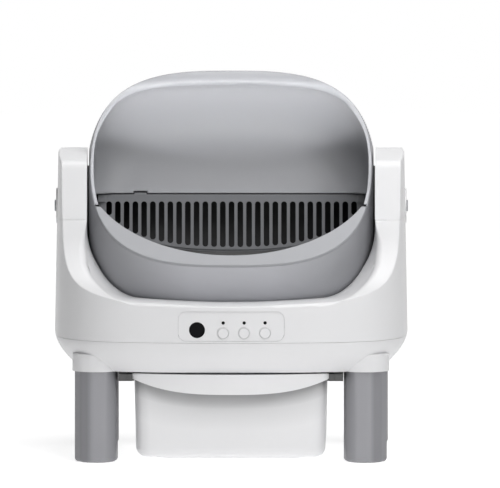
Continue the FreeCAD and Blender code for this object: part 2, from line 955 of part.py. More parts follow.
@lru_cache(maxsize=None)
def side_form(inset):
    """The housing's side outline, pushed across its whole width."""
    lean = math.tan(math.radians(arm_lean))
    rise = math.tan(math.radians(ramp_angle))
    meet = (pivot_height + lean * arm_half_depth - ramp_height - rise * base_half_depth)
    bend_y = meet / (lean - rise)
    bend_z = ramp_height + rise * (base_half_depth - bend_y)
    shoulder_y = arm_half_depth - (head_top - head_fall - pivot_height) / lean
    far_y = base_half_depth + reach_past
    far_z = ramp_height - rise * reach_past
    half = [(-far_y, seam_height - reach_past), (-far_y, far_z), (-bend_y, bend_z)]
    half = half + [(-shoulder_y, head_top - head_fall)]
    other = [(-y, z) for y, z in reversed(half)]
    corners = half + [(0, head_top)] + other
    radii = [0, 0, ramp_round, head_round, crown_round, head_round, ramp_round, 0, 0]
    wire = rounded_wire(corners, radii, on_side(-FAR))
    if inset > 0:
        wire = wire.makeOffset2D(-inset, 2)
    return slab(wire, Vec(2 * FAR, 0, 0))


def cradle_wire(y, grow):
    """The U between the arms at one depth, larger by the growth."""
    share = (abs(y) - cradle_deep_y) / (cradle_front_y - cradle_deep_y)
    share = max(0, min(1, share))
    half = cradle_deep_half + (cradle_front_half - cradle_deep_half) * share + grow
    bend = cradle_deep_round + (cradle_front_round - cradle_deep_round) * share + grow
    gap = arm_gap_half + grow
    top = head_top + reach_past
    floor = cradle_floor - grow
    corners = [(-gap, top), (-gap, arm_bend_height), (-half, floor + cradle_rise), (0, floor)]
    corners = corners + [(half, floor + cradle_rise), (gap, arm_bend_height), (gap, top)]
    radii = [0, arm_bend_round, bend, cradle_floor_round, bend, arm_bend_round, 0]
    return rounded_wire(corners, radii, on_front(y))


@lru_cache(maxsize=None)
def cradle_form(grow):
    """The whole opening between the arms, from front to back."""
    far = base_half_depth + reach_past
    depths = [-far, -cradle_front_y, -cradle_deep_y, cradle_deep_y, cradle_front_y, far]
    spans = []
    for start, end in zip(depths, depths[1:]):
        wires = [cradle_wire(start, grow), cradle_wire(end, grow)]
        spans.append(Part.makeLoft(wires, True, True))
    return joined(spans)


def crease_edges(body):
    """The edges where the drafted sides meet the ramps, the arms and their rounded heads."""
    found = []
    for edge in body.Edges:
        bound = edge.BoundBox
        across = bound.YLength < touch and bound.ZLength < touch
        if bound.ZMin > seam_height and not across:
            found.append(edge)
    return found


@lru_cache(maxsize=None)
def housing_form(inset):
    """The housing as a filled body, smaller on every side by the inset."""
    body = plan_tower(inset).common(side_form(inset))
    if inset == 0:
        body = body.makeFillet(crease_round, crease_edges(body))
    body = body.cut(cradle_form(inset))
    return body.cut(drum_solid(-drum_clearance - inset))


@lru_cache(maxsize=None)
def housing_wall():
    """The hollow wall of the housing and its arms."""
    return housing_form(0).cut(housing_form(base_wall))


def arm_holes():
    """Holes in the arms: for the hubs inside and for the pivot caps outside."""
    reach = block_start() + overshoot
    hub_hole = rod(shaft_opening, Vec(-reach, 0, pivot_height), AXIS_X, 2 * reach)
    cap_start = Vec(gear_start(), 0, pivot_height)
    cap_hole = rod(cap_radius + release_gap, cap_start, AXIS_X, FAR)
    return Part.makeCompound([hub_hole, cap_hole, mirrored(cap_hole)])


def between_heights(low, high):
    """Everything between two heights."""
    return box(-FAR, FAR, -FAR, FAR, low, high)


def panel_form(grow, y0, y1):
    """The front panel's outline, pushed along Y."""
    low = seam_height + seam_gap / 2 + base_wall
    return front_block(panel_left - grow, panel_right + grow, low - grow, panel_top + grow,
                       y0, y1, panel_corner + grow)


def rear_form(grow, y0, y1):
    """The rear cover's outline, pushed along Y."""
    return front_block(-rear_half_width - grow, rear_half_width + grow, rear_low - grow,
                       rear_top + grow, y0, y1, panel_corner + grow)


def chute_box(grow, low, high):
    """The chute's passage, larger all round by the growth."""
    return rounded_block(-chute_half_width - grow, chute_half_width + grow, chute_front - grow,
                         chute_back + grow, low, high, chute_corner + grow)


def upper_housing():
    """Upper housing with the lower halves of both arms."""
    body = housing_wall().common(between_heights(seam_height + seam_gap / 2,
                                                 arm_seam_height - seam_gap / 2))
    body = body.cut(arm_holes())
    body = body.cut(panel_form(panel_gap, -FAR, 0))
    body = body.cut(rear_form(panel_gap, 0, FAR))
    return body.cut(chute_box(chute_wall, 0, chute_top))


def arm_cover(side):
    """Upper half of one arm, closed over the bearing."""
    body = housing_wall().common(between_heights(arm_seam_height + seam_gap / 2, FAR + FAR))
    body = body.cut(arm_holes())
    half = box(0, FAR, -FAR, FAR, 0, FAR + FAR) if side > 0 else box(-FAR, 0, -FAR, FAR, 0, FAR + FAR)
    return body.common(half)


def arm_outside(height):
    """Distance of an arm's outer face from the middle at a height."""
    return base_half_width - base_draft * (height - seam_height)


def pivot_cap(side):
    """Round cap in the outer face of one arm, with a hole for the release button."""
    outside = arm_outside(pivot_height) + cap_proud
    start = Vec(outside - cap_depth, 0, pivot_height)
    body = rod(cap_radius, start, AXIS_X, cap_depth)
    rim = [edge for edge in body.Edges if edge.BoundBox.XMin > outside - touch]
    body = body.makeFillet(cap_round, rim)
    tube_start = Vec(outside - release_guide_depth, 0, pivot_height)
    tube = rod(release_radius + release_gap + release_guide_wall, tube_start, AXIS_X,
               release_guide_depth - cap_depth / 2)
    body = joined([body, tube])
    hole_start = Vec(tube_start.x + release_guide_wall, 0, pivot_height)
    body = body.cut(rod(release_radius + release_gap, hole_start, AXIS_X, FAR))
    return body if side > 0 else mirrored(body)


def release_button(side):
    """Button in the middle of one pivot cap."""
    outside = arm_outside(pivot_height) + cap_proud + release_proud
    length = release_proud + release_guide_depth - release_guide_wall - release_travel - release_stop
    body = rod(release_radius, Vec(outside - length, 0, pivot_height), AXIS_X, length)
    rim = [edge for edge in body.Edges if edge.BoundBox.XMin > outside - touch]
    body = body.makeFillet(cap_round, rim)
    return body if side > 0 else mirrored(body)


@lru_cache(maxsize=None)
def lower_form(inset):
    """The lower shell as a filled body, with its rounded lower edge."""
    wires = []
    depth = seam_height - underside_height
    for index in range(lower_levels):
        share = index / (lower_levels - 1)
        z = seam_height - share * (depth - inset)
        wires.append(plan_wire(inset + lower_inset * share ** lower_power, z))
    return Part.makeLoft(wires, True, False)


def leg_places():
    """Centres of the four legs, with a name for each."""
    places = []
    for depth_name, y in (("front", -leg_y), ("rear", leg_y)):
        for side_name, x in (("left", -leg_x), ("right", leg_x)):
            places.append((depth_name + "_" + side_name, x, y))
    return places


def lower_shell():
    """Lower shell: floor, rounded edge and four leg sockets."""
    body = lower_form(0).cut(lower_form(base_wall))
    body = body.common(between_heights(0, seam_height - seam_gap / 2))
    top = leg_top + cell_height + socket_roof
    sockets = []
    for name, x, y in leg_places():
        socket = rod(socket_radius, Vec(x, y, underside_height), AXIS_Z, top - underside_height)
        rim = [edge for edge in socket.Edges if edge.BoundBox.ZMin > top - touch]
        sockets.append(socket.makeFillet(socket_edge_round, rim))
    body = joined([body] + sockets)
    for name, x, y in leg_places():
        cavity = leg_form(x, y, socket_gap, underside_height - overshoot, top - socket_roof)
        body = body.cut(cavity)
    return body.cut(chute_box(chute_wall + seat_clearance, 0, seam_height))


def leg_form(x, y, grow, low, high):
    """A many-sided leg with soft edges."""
    corners = []
    for index in range(leg_sides):
        side = 1 if x > 0 else -1
        turn = math.radians(leg_turn + 360 / leg_sides * index)
        radius = leg_radius + grow
        corners.append((x + side * radius * math.cos(turn), y + radius * math.sin(turn)))
    wire = rounded_wire(corners, [leg_edge_round + grow] * leg_sides, on_floor(low))
    return slab(wire, Vec(0, 0, high - low))


def leg(x, y):
    """One leg, with a rounded foot and a recess for its pad."""
    low = pad_height - pad_recess
    body = leg_form(x, y, 0, low, leg_top)
    rim = [edge for edge in body.Edges if edge.BoundBox.ZMax < low + touch]
    body = body.makeFillet(leg_foot_round, rim)
    recess = rod(pad_radius, Vec(x, y, low - overshoot), AXIS_Z, pad_recess + overshoot)
    return body.cut(recess)


def foot_pad(x, y):
    """Rubber pad below one leg."""
    body = rod(pad_radius - seat_clearance, Vec(x, y, 0), AXIS_Z, pad_height)
    rim = [edge for edge in body.Edges if edge.BoundBox.ZMax < touch]
    return body.makeFillet(pad_edge_round, rim)


def load_cells():
    """Weighing cells between the legs and their sockets."""
    cells = []
    for name, x, y in leg_places():
        half = cell_length / 2
        cells.append(box(x - half, x + half, y - cell_width / 2, y + cell_width / 2,
                         leg_top, leg_top + cell_height))
    return Part.makeCompound(cells)


def drum_tray():
    """Tray below the drum, in one piece with the two posts that carry its front."""
    outer = drum_solid(-drum_clearance - base_wall)
    inner = drum_solid(-drum_clearance)
    floor_top = underside_height + base_wall
    dish = outer.cut(inner).common(between_heights(floor_top, seam_height - seam_gap / 2))
    posts = []
    for x in (-post_x, post_x):
        posts.append(rod(post_radius, Vec(x, post_y, floor_top), AXIS_Z, seam_height - floor_top))
    feet = Part.makeCompound(posts).cut(inner)
    body = joined([dish, feet])
    return body.cut(chute_box(chute_wall + seat_clearance, 0, chute_top))


def waste_chute():
    """Upright duct from the drum down to the bin."""
    low = underside_height
    passage = chute_box(0, low - overshoot, chute_top + overshoot)
    duct = chute_box(chute_wall, low, chute_top).cut(passage)
    return duct.cut(drum_solid(-drum_clearance))


def chute_seal():
    """Soft ring round the chute's lower end."""
    low = bin_top + slide_gap
    ring = chute_box(seal_width, low, underside_height)
    return ring.cut(chute_box(0, low - overshoot, underside_height + overshoot))


def front_face(x, inset):
    """Y of the base's front face at x."""
    radius = front_radius - inset
    return front_radius - base_half_depth - math.sqrt(radius ** 2 - x ** 2)


def key_x(index):
    """X of a key or lamp."""
    return key_middle + (index - 1) * key_pitch


def control_panel():
    """Panel let into the front, with holes for keys, lamps and the window."""
    body = plan_tower(panel_recess).cut(plan_tower(panel_recess + panel_wall))
    body = body.common(panel_form(0, -FAR, 0))
    for index in range(3):
        x = key_x(index)
        body = body.cut(rod(key_radius + key_gap, Vec(x, -FAR, key_height), AXIS_Y, FAR))
        body = body.cut(rod(lamp_radius, Vec(x, -FAR, lamp_height), AXIS_Y, FAR))
    return body.cut(rod(window_radius, Vec(window_centre, -FAR, window_height), AXIS_Y, FAR))


def key(index):
    """Round key with a stop flange behind the panel."""
    x = key_x(index)
    face = front_face(x, panel_recess + base_draft * (key_height - seam_height))
    start = face - key_proud
    body = rod(key_radius, Vec(x, start, key_height), AXIS_Y, key_length)
    rim = [edge for edge in body.Edges if edge.BoundBox.YMax < start + touch]
    body = body.makeFillet(key_edge_round, rim)
    back = start + key_length
    flange = rod(key_radius + key_flange, Vec(x, back - key_flange, key_height), AXIS_Y, key_flange)
    return joined([body, flange])


def lamps():
    """Three light pipes, flush with the panel."""
    pipes = []
    for index in range(3):
        x = key_x(index)
        face = front_face(x, panel_recess + base_draft * (lamp_height - seam_height))
        pipes.append(rod(lamp_radius, Vec(x, face - lamp_proud, lamp_height), AXIS_Y, lamp_length))
    return Part.makeCompound(pipes)


def sensor_window():
    """Dark round window in front of the proximity sensor."""
    inset = panel_recess + base_draft * (window_height - seam_height)
    face = front_face(window_centre - window_radius, inset)
    body = rod(window_radius, Vec(window_centre, face - window_proud, window_height), AXIS_Y,
               window_depth)
    rim = [edge for edge in body.Edges if edge.BoundBox.YMax < face - window_proud + touch]
    return body.makeFillet(window_edge_round, rim)


def board_front():
    """Y of the control board's front face."""
    return -base_half_depth + board_behind


def key_back(index):
    """Y of a key's rear end."""
    face = front_face(key_x(index), panel_recess + base_draft * (key_height - seam_height))
    return face - key_proud + key_length


def key_mat():
    """Soft mat behind the keys, on the control board: it ends their travel."""
    reach = key_pitch + key_radius + mat_margin
    rearmost = max(key_back(index) for index in range(3))
    front = rearmost + key_travel + mat_gap
    return front_block(key_middle - reach, key_middle + reach, key_height - key_radius,
                       key_height + key_radius, front, board_front(), mat_corner)


def control_board():
    """Circuit board behind the front panel, with the posts that hold it."""
    front = board_front()
    low = seam_height + seam_gap / 2 + base_wall + board_edge_gap
    high = panel_top - board_edge_gap
    left = panel_left + board_margin
    right = panel_right - board_margin
    board = box(left, right, front, front + board_thickness, low, high)
    posts = []
    for x in (left + board_post_inset, right - board_post_inset):
        for z in (low + board_post_inset, high - board_post_inset):
            inset = panel_recess + panel_wall + base_draft * (z - seam_height)
            start = front_face(abs(x) + board_post_radius, inset) + seat_clearance
            posts.append(rod(board_post_radius, Vec(x, start, z), AXIS_Y, front - start))
    return joined([board] + posts)


def rear_cover():
    """Service cover at the back, with the hole for the power inlet."""
    body = plan_tower(rear_recess).cut(plan_tower(rear_recess + panel_wall))
    body = body.common(rear_form(0, 0, FAR))
    return body.cut(rod(inlet_radius + press_fit, Vec(inlet_x, 0, inlet_height), AXIS_Y, FAR))


def power_inlet():
    """Round low-voltage socket behind the rear cover, with its centre pin."""
    lean = base_draft * (inlet_height - seam_height)
    face = -front_face(inlet_x, rear_recess + lean)
    inner = -front_face(inlet_x + inlet_half_width, rear_recess + panel_wall + lean) - seat_clearance
    front = face + inlet_proud - inlet_depth
    barrel = rod(inlet_radius, Vec(inlet_x, front, inlet_height), AXIS_Y, inlet_depth)
    body = box(inlet_x - inlet_half_width, inlet_x + inlet_half_width, inner - inlet_body_depth, inner,
               inlet_height - inlet_half_width, inlet_height + inlet_half_width)
    floor = Vec(inlet_x, front + inlet_floor, inlet_height)
    socket = rod(inlet_radius - inlet_wall, floor, AXIS_Y, inlet_depth)
    pin = rod(inlet_pin_radius, floor - AXIS_Y * overshoot, AXIS_Y,
              inlet_depth - inlet_floor - inlet_pin_set_back + overshoot)
    return joined([joined([barrel, body]).cut(socket), pin])


def rear_screws():
    """Four screws in the corners of the rear cover."""
    screws = []
    for x in (-rear_half_width + screw_inset, rear_half_width - screw_inset):
        for z in (rear_low + screw_inset, rear_top - screw_inset):
            lean = base_draft * (z - screw_radius - seam_height)
            face = -front_face(abs(x) - screw_radius, rear_recess + lean)
            screws.append(rod(screw_radius, Vec(x, face, z), AXIS_Y, screw_head))
    return Part.makeCompound(screws)


# Waste bin and rails


def bin_form(inset, top):
    """The bin as a filled body, tapered down and rounded below."""
    wires = []
    for z, taper in ((top, 0), (bin_bottom + inset, bin_taper)):
        shrink = inset + taper
        half = bin_half_width - shrink
        corners = [(-half, bin_front + shrink), (half, bin_front + shrink)]
        corners = corners + [(half, bin_back - shrink), (-half, bin_back - shrink)]
        wires.append(rounded_wire(corners, [bin_corner - inset] * 4, on_floor(z)))
    body = Part.makeLoft(wires, True, True)
    rim = [edge for edge in body.Edges if edge.BoundBox.ZMax < bin_bottom + inset + touch]
    return body.makeFillet(bin_foot_round - inset, rim)


def waste_bin():
    """Open drawer for the waste, on a low foot ring."""
    body = bin_form(0, bin_top).cut(bin_form(bin_wall, bin_top + overshoot))
    width = bin_half_width - bin_taper - foot_ring_inset
    front = bin_front + bin_taper + foot_ring_inset
    back = bin_back - bin_taper - foot_ring_inset
    low_ring = bin_bottom - foot_ring_height
    ring = rounded_block(-width, width, front, back, low_ring, bin_bottom + bin_wall / 2,
                         foot_ring_corner)
    hollow = rounded_block(-width + foot_ring_width, width - foot_ring_width, front + foot_ring_width,
                           back - foot_ring_width, low_ring - overshoot, bin_bottom,
                           foot_ring_corner - foot_ring_width)
    return joined([body, ring.cut(hollow)])


def bin_lip():
    """Curved front lip of the bin, hollowed behind as a grip."""
    points = []
    start = lip_front - overshoot
    for index in range(outline_points):
        x = lip_half_width * (2 * index / (outline_points - 1) - 1)
        rise = lip_end_rise * (abs(x) / lip_end_at) ** lip_end_power
        points.append(Vec(x, start, min(lip_bottom + rise, bin_top - lip_end_height)))
    right_corner = Vec(lip_half_width, start, bin_top)
    left_corner = Vec(-lip_half_width, start, bin_top)
    edges = [smooth_edge(points), Part.LineSegment(points[-1], right_corner).toShape()]
    edges.append(Part.LineSegment(right_corner, left_corner).toShape())
    edges.append(Part.LineSegment(left_corner, points[0]).toShape())
    curtain = slab(Part.Wire(edges), Vec(0, bin_front - start, 0))
    body = curtain.common(lip_plan(0))
    grip = front_block(-grip_half_width, grip_half_width, lip_bottom - overshoot - bin_wall,
                       bin_top - grip_top, start, bin_front - grip_wall, bin_wall)
    return body.cut(grip.common(lip_plan(grip_wall)))


def lip_plan(inset):
    """The lip's curved front in plan, set back by the inset."""
    radius = lip_plan_radius - inset
    return rod(radius, Vec(0, lip_front + lip_plan_radius, 0), AXIS_Z, bin_top + overshoot)


def bag_ring():
    """Loose ring that clamps the bag inside the bin's rim."""
    half = bin_half_width - bin_wall - seat_clearance
    front = bin_front + bin_wall + seat_clearance
    back = bin_back - bin_wall - seat_clearance
    low = bin_top - bag_ring_height
    corner = bin_corner - bin_wall - seat_clearance
    ring = rounded_block(-half, half, front, back, low, bin_top - bag_ring_drop, corner)
    inner = rounded_block(-half + bag_ring_width, half - bag_ring_width, front + bag_ring_width,
                          back - bag_ring_width, low - overshoot, bin_top, corner - bag_ring_width)
    return ring.cut(inner)


def bin_runner(side):
    """Runner along one side of the bin, with a tongue in the rail and a plate over its end."""
    top = bin_top - runner_top_drop
    low = bin_top - runner_drop
    tongue_top = bin_top - tongue_drop
    start = bin_front + bin_corner
    end = bin_back - bin_corner
    bar = box(bin_half_width - bin_wall, bin_half_width + runner_reach, start, end, low, top)
    tongue = box(bin_half_width, bin_half_width + tongue_reach, start, end,
                 tongue_top - tongue_height, tongue_top)
    link = box(bin_half_width, bin_half_width + runner_reach, bin_front, start, low, top)
    plate_back = rail_front - slide_gap
    plate_front = plate_back - runner_plate
    plate = box(lip_half_width + seat_clearance, bin_half_width + runner_plate_reach,
                plate_front, plate_back, low, top)
    groove_x = bin_half_width + runner_reach
    groove = box(groove_x, groove_x + runner_groove, plate_front - overshoot,
                 plate_front + runner_groove_depth, low - overshoot, top + overshoot)
    body = joined([bar, tongue, link, plate]).cut(groove)
    body = body.cut(bin_form(0, bin_top))
    return body if side > 0 else mirrored(body)


def rail(side):
    """C-shaped rail below the base, open towards the bin."""
    lower = bin_top - tongue_drop - tongue_height - slide_gap
    roof = underside_height - rail_wall
    web = rail_outer - rail_wall
    outline = [(rail_inner, underside_height), (rail_outer, underside_height), (rail_outer, rail_bottom)]
    outline = outline + [(rail_inner, rail_bottom), (rail_inner, lower), (web, lower), (web, roof)]
    outline = outline + [(rail_inner, roof)]
    wire = rounded_wire(outline, [0] * len(outline), on_front(rail_front))
    body = slab(wire, Vec(0, rail_back - rail_front, 0))
    return body if side > 0 else mirrored(body)


NODES = [
    ("lower_shell", lower_shell, ()),
    ("upper_housing", upper_housing, ()),
    ("arm_cover_left", arm_cover, (-1,)),
    ("arm_cover_right", arm_cover, (1,)),
    ("pivot_cap_left", pivot_cap, (-1,)),
    ("pivot_cap_right", pivot_cap, (1,)),
    ("release_button_left", release_button, (-1,)),
    ("release_button_right", release_button, (1,)),
    ("drum_tray", drum_tray, ()),
    ("waste_chute", waste_chute, ()),
    ("chute_seal", chute_seal, ()),
    ("control_panel", control_panel, ()),
    ("key_left", key, (0,)),
    ("key_middle", key, (1,)),
    ("key_right", key, (2,)),
    ("indicator_lamps", lamps, ()),
    ("sensor_window", sensor_window, ()),
    ("key_mat", key_mat, ()),
    ("control_board", control_board, ()),
    ("rear_cover", rear_cover, ()),
    ("rear_cover_screws", rear_screws, ()),
    ("power_inlet", power_inlet, ()),
    ("load_cells", load_cells, ()),
    ("rail_left", rail, (-1,)),
    ("rail_right", rail, (1,)),
    ("waste_bin", waste_bin, ()),
    ("bin_front_lip", bin_lip, ()),
    ("bin_runner_left", bin_runner, (-1,)),
    ("bin_runner_right", bin_runner, (1,)),
    ("bag_ring", bag_ring, ()),
    ("bowl_shell", bowl_shell, ()),
    ("bowl_lip", bowl_lip, ()),
    ("bowl_liner", bowl_liner, ()),
    ("sieve_plate", sieve_plate, ()),
    ("sieve_latch_left", latch, (-1,)),
    ("sieve_latch_right", latch, (1,)),
    ("hood_shell", hood_shell, ()),
    ("hood_rim", hood_rim, ()),
    ("hood_liner", hood_liner, ()),
    ("hub_left", hub, (-1,)),
    ("hub_right", hub, (1,)),
    ("hub_screws", hub_screws, ()),
    ("bearing_left", bearing, (-1,)),
    ("bearing_right", bearing, (1,)),
    ("bearing_block_left", bearing_block, (-1,)),
    ("bearing_block_right", bearing_block, (1,)),
    ("drive_gear", drive_gear, ()),
    ("drive_pinion", drive_pinion, ()),
    ("gearbox", gearbox, ()),
    ("drive_motor", drive_motor, ()),
]
for leg_name, leg_centre_x, leg_centre_y in leg_places():
    NODES.append(("leg_" + leg_name, leg, (leg_centre_x, leg_centre_y)))
    NODES.append(("foot_pad_" + leg_name, foot_pad, (leg_centre_x, leg_centre_y)))

for node_name, make, settings in NODES:
    node_shape = make(*settings)
    node_shape.exportStep("parts/" + node_name + ".step")
    print(node_name, len(node_shape.Solids), round(node_shape.Volume), node_shape.isValid())
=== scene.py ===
import json
import math

import bmesh
import bpy
from bpy.props import FloatProperty, FloatVectorProperty, PointerProperty
from bpy.types import Operator, Panel, PropertyGroup
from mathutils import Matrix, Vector


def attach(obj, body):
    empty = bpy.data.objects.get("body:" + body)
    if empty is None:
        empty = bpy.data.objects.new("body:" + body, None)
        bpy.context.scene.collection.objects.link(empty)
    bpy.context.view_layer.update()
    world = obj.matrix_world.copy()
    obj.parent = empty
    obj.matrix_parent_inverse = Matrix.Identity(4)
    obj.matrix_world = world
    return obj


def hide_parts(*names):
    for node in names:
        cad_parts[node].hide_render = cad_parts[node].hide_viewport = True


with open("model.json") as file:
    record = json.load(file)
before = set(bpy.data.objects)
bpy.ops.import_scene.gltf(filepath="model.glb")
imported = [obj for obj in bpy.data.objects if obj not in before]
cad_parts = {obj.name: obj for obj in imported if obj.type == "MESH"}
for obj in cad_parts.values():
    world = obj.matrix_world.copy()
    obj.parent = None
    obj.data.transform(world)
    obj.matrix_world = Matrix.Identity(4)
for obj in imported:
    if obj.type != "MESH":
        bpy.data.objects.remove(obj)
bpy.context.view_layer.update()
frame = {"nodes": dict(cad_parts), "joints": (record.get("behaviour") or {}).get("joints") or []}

bl_info = {
    "name": "Self-cleaning litter box",
    "version": (1, 0, 0),
    "blender": (4, 5, 0),
    "location": "3D view > Sidebar > Litter box",
    "description": "Finishes and detail of a self-cleaning litter box, built round its packed frame",
    "category": "Object",
}

NODES = frame["nodes"]
JOINTS = {joint["name"]: joint for joint in frame["joints"]}
PIVOT = Vector(JOINTS["drum_turn"]["pos_m"])
MM = 0.001


def colour(name, description, red, green, blue):
    """A colour property, as linear values."""
    return FloatVectorProperty(name=name, description=description, subtype="COLOR", size=3,
                               min=0.0, max=1.0, default=(red, green, blue))


def length(name, description, millimetres):
    """A length property, given in millimetres and held in metres."""
    return FloatProperty(name=name, description=description, subtype="DISTANCE", unit="LENGTH",
                         default=millimetres * MM)


class LitterBoxFinish(PropertyGroup):
    """Colours of the machine's materials, among them lit and shaded copies that paint light and shade."""

    white: colour("White", "Housing, lower shell and keys", 0.80, 0.80, 0.81)
    drum_grey: colour("Drum grey", "Rim of the drum's mouth and the release buttons", 0.36, 0.365, 0.385)
    # Painted light and shade: the outer drum is a lighter grey at its middle and a darker one towards its
    # ends.
    drum_lit_grey: colour("Drum pale grey", "Outer drum at its middle", 0.51, 0.515, 0.545)
    drum_shaded_grey: colour("Drum deep grey", "Outer drum towards its ends", 0.30, 0.303, 0.32)
    inner_grey: colour("Inner grey", "Hood's inner skin at its roof", 0.42, 0.425, 0.445)
    # Painted shade: the hood's inner skin turns from its grey at the roof to this darker grey at its foot.
    inner_shade_grey: colour("Inner deep grey", "Hood's inner skin at its foot", 0.33, 0.334, 0.35)
    # Painted shade: the rim darkens in its fold and at its front at the hood's top.
    rim_fold_shade: colour("Rim fold", "Rolled edge of the rim at the hood's top", 0.27, 0.274, 0.29)
    rim_crown_shade: colour("Rim crown", "Front of the rim at the hood's top", 0.315, 0.319, 0.336)
    sieve_grey: colour("Sieve grey", "Slotted plate and its latches", 0.27, 0.275, 0.29)
    bowl_grey: colour("Bowl grey", "Hubs, blocks and the chute", 0.05, 0.05, 0.052)
    # Partly painted shade: the bowl is a dark grey, made darker still to stand in for the shade inside the
    # drum.
    bowl_inside_shade: colour("Bowl deep grey", "Inside of the bowl", 0.022, 0.022, 0.023)
    # Painted shade: near black on the shells' inner side, for the dark inside the drum.
    shell_inside_shade: colour("Hollow grey", "Unseen inner side of the drum's shells", 0.016, 0.016, 0.017)
    # Painted light and shade: the legs are lighter at their middle and darker on their sides.
    leg_lit_grey: colour("Leg grey", "Legs at their middle", 0.33, 0.33, 0.35)
    leg_shaded_grey: colour("Leg deep grey", "Legs at their sides", 0.225, 0.225, 0.24)
    # Painted light and shadow: the bin and its lip are a lighter white than the housing, and the bin turns
    # to a grey shade close below its lip, where the lip's shadow is painted.
    bin_lit_white: colour("Bin white", "Waste bin and its front lip", 0.87, 0.87, 0.88)
    bin_shade: colour("Bin shade", "Waste bin close below its lip", 0.34, 0.34, 0.345)
    # Painted shade: grey rings at the keys' edges.
    ring_shade_grey: colour("Ring grey", "Trim rings of the keys", 0.56, 0.56, 0.57)
    rail_grey: colour("Rail grey", "Rails and runners", 0.08, 0.08, 0.081)
    black: colour("Black", "Sensor window and inlet", 0.006, 0.006, 0.007)
    rubber: colour("Rubber", "Foot pads, seal and key mat", 0.03, 0.03, 0.032)
    acetal: colour("Acetal", "Gears", 0.62, 0.61, 0.56)
    board_green: colour("Board green", "Lacquer of the circuit board", 0.012, 0.10, 0.04)
    steel: colour("Steel", "Screws and weighing cells", 0.50, 0.50, 0.52)
    lamp: colour("Lamp", "Light pipes while they are off", 0.008, 0.008, 0.008)


class LitterBoxDrum(PropertyGroup):
    """Sizes of the drum and its mouth, as in the frame."""

    half_length: length("Half length", "Half of the drum form's full length", 225.5)
    radius: length("Radius", "Radius at the drum's middle", 211.3)
    end: length("End", "Distance of the flat ends from the middle", 220.0)
    power: FloatProperty(name="Power", description="Squareness of the drum's profile", default=3.0)
    skin: length("Skin", "Depth of the inner skin's face below the outside", 5.2)
    skin_wall: length("Skin wall", "Thickness of the hood's inner skin", 1.9)
    parting: length("Parting", "Height of the parting above the pivot", 9.0)
    seam: length("Seam", "Open seam between the hood's skin and the sieve", 2.4)
    scoop_back: length("Scoop back", "Distance of the scoop's foot behind the pivot", 94.0)
    scoop_blend: length("Scoop blend", "Reach of the soft corner between the scoop and the ends", 46.0)
    mouth_tilt: FloatProperty(name="Mouth tilt", description="Lean of the mouth's face from level",
                              subtype="ANGLE", unit="ROTATION", default=math.radians(48.6))
    mouth_offset: length("Mouth offset", "Distance of the mouth's face from the pivot", 98.2)
    mouth_half_width: length("Mouth half width", "Half width of the mouth's opening", 213.3)
    mouth_half_height: length("Mouth half height", "Rise of the opening above its middle", 166.9)
    mouth_power: FloatProperty(name="Mouth power", description="Squareness of the opening", default=2.7)
    lip_drop: length("Lip drop", "Depth of the front lip below the opening's middle", 168.6)
    lip_corner: length("Lip corner", "Depth of the lip's corners below the opening's middle", 68.1)
    rim: length("Rim", "Thickness of the mouth's rim", 3.0)
    rim_depth: length("Rim depth", "Depth to which the rim rolls into the hood at the top", 14.0)
    rim_roll: length("Rim roll", "Rounding of the rim's inner edge at the top", 30.0)
    rim_edge: length("Rim edge", "Rounding of the rim's inner edge at the sides", 1.2)
    rim_proud: length("Rim proud", "How far the rim stands over the hood's skin where they meet", 0.35)
    brow: length("Brow", "Rounding of the rim's outer edge at the sides", 1.2)
    brow_gain: length("Brow gain", "What that rounding gains at the top", 0.8)
    fade_side: length("Fade side", "Distance from the middle at which the rim's soft roll ends", 205.0)
    fade_width: length("Fade width", "Distance over which the roll fades sideways", 150.0)
    fade_foot: length("Fade foot", "Height on the mouth's face at which the soft roll begins", -20.0)
    fade_head: length("Fade head", "Height on the mouth's face at which the roll is full", 80.0)
    end_blend: length("End blend", "Reach of the soft corner at the hood's flat ends", 4.0)
    shoulder_blend: length("Shoulder blend", "Reach of the soft corner behind the rim at the sides", 2.0)
    shoulder_gain: length("Shoulder gain", "What that reach gains at the top", 20.0)
    notch_left: length("Notch left", "Left side of the notch for the sieve's tab", -151.7)
    notch_right: length("Notch right", "Right side of that notch", -130.3)
    notch_height: length("Notch height", "Height of that notch", 3.0)


class LitterBoxCradle(PropertyGroup):
    """Sizes of the soft front edge of the housing's cradle."""

    foot: length("Foot", "Height below which no edge is rounded", 243.0)
    head: length("Head", "Height above which no edge is rounded", 372.0)
    front: length("Front", "Place behind which no edge is rounded", -136.0)
    run: length("Run", "Distance over which the rounding grows from the head downward", 50.0)
    centre_half: length("Centre half", "Half width of the shallow middle of the edge", 155.0)
    centre_reach: length("Centre reach", "Distance from the middle at which its set-back ends", 145.0)
    set_back: length("Set-back", "Depth of the ledge that the middle's rounding takes in", 3.9)
    corner_start: length("Corner start", "Distance from the middle where the corners begin", 192.0)
    corner_run: length("Corner run", "Distance over which the corners' rounding grows", 32.0)
    round_head: length("Round at the head", "Rounding at the arms' seam", 0.6)
    round_corner: length("Round at the corners", "What the rounding gains at the lower corners", 11.4)
    round_centre: length("Round at the centre", "What the rounding gains at the middle", 6.4)


class LitterBoxKeys(PropertyGroup):
    """Sizes of the grey rings at the keys' edges, which paint shade there."""

    radius: length("Radius", "Radius of a ring's middle line", 8.0)
    half_width: length("Half width", "Half width of a ring", 0.6)
    half_depth: length("Half depth", "Half depth of a ring", 0.32)
    inset: length("Inset", "Depth of a ring's middle behind the key's face", 0.05)


class LitterBoxBin(PropertyGroup):
    """Curve of the lower edge of the bin's front lip."""

    lip_half_width: length("Lip half width", "Distance of the lip's ends from its middle", 151.0)
    lip_end_rise: length("Lip end rise", "Rise of the edge from its middle to its ends", 22.5)
    lip_power: FloatProperty(name="Lip power", description="Squareness of the edge's curve", default=3.2)


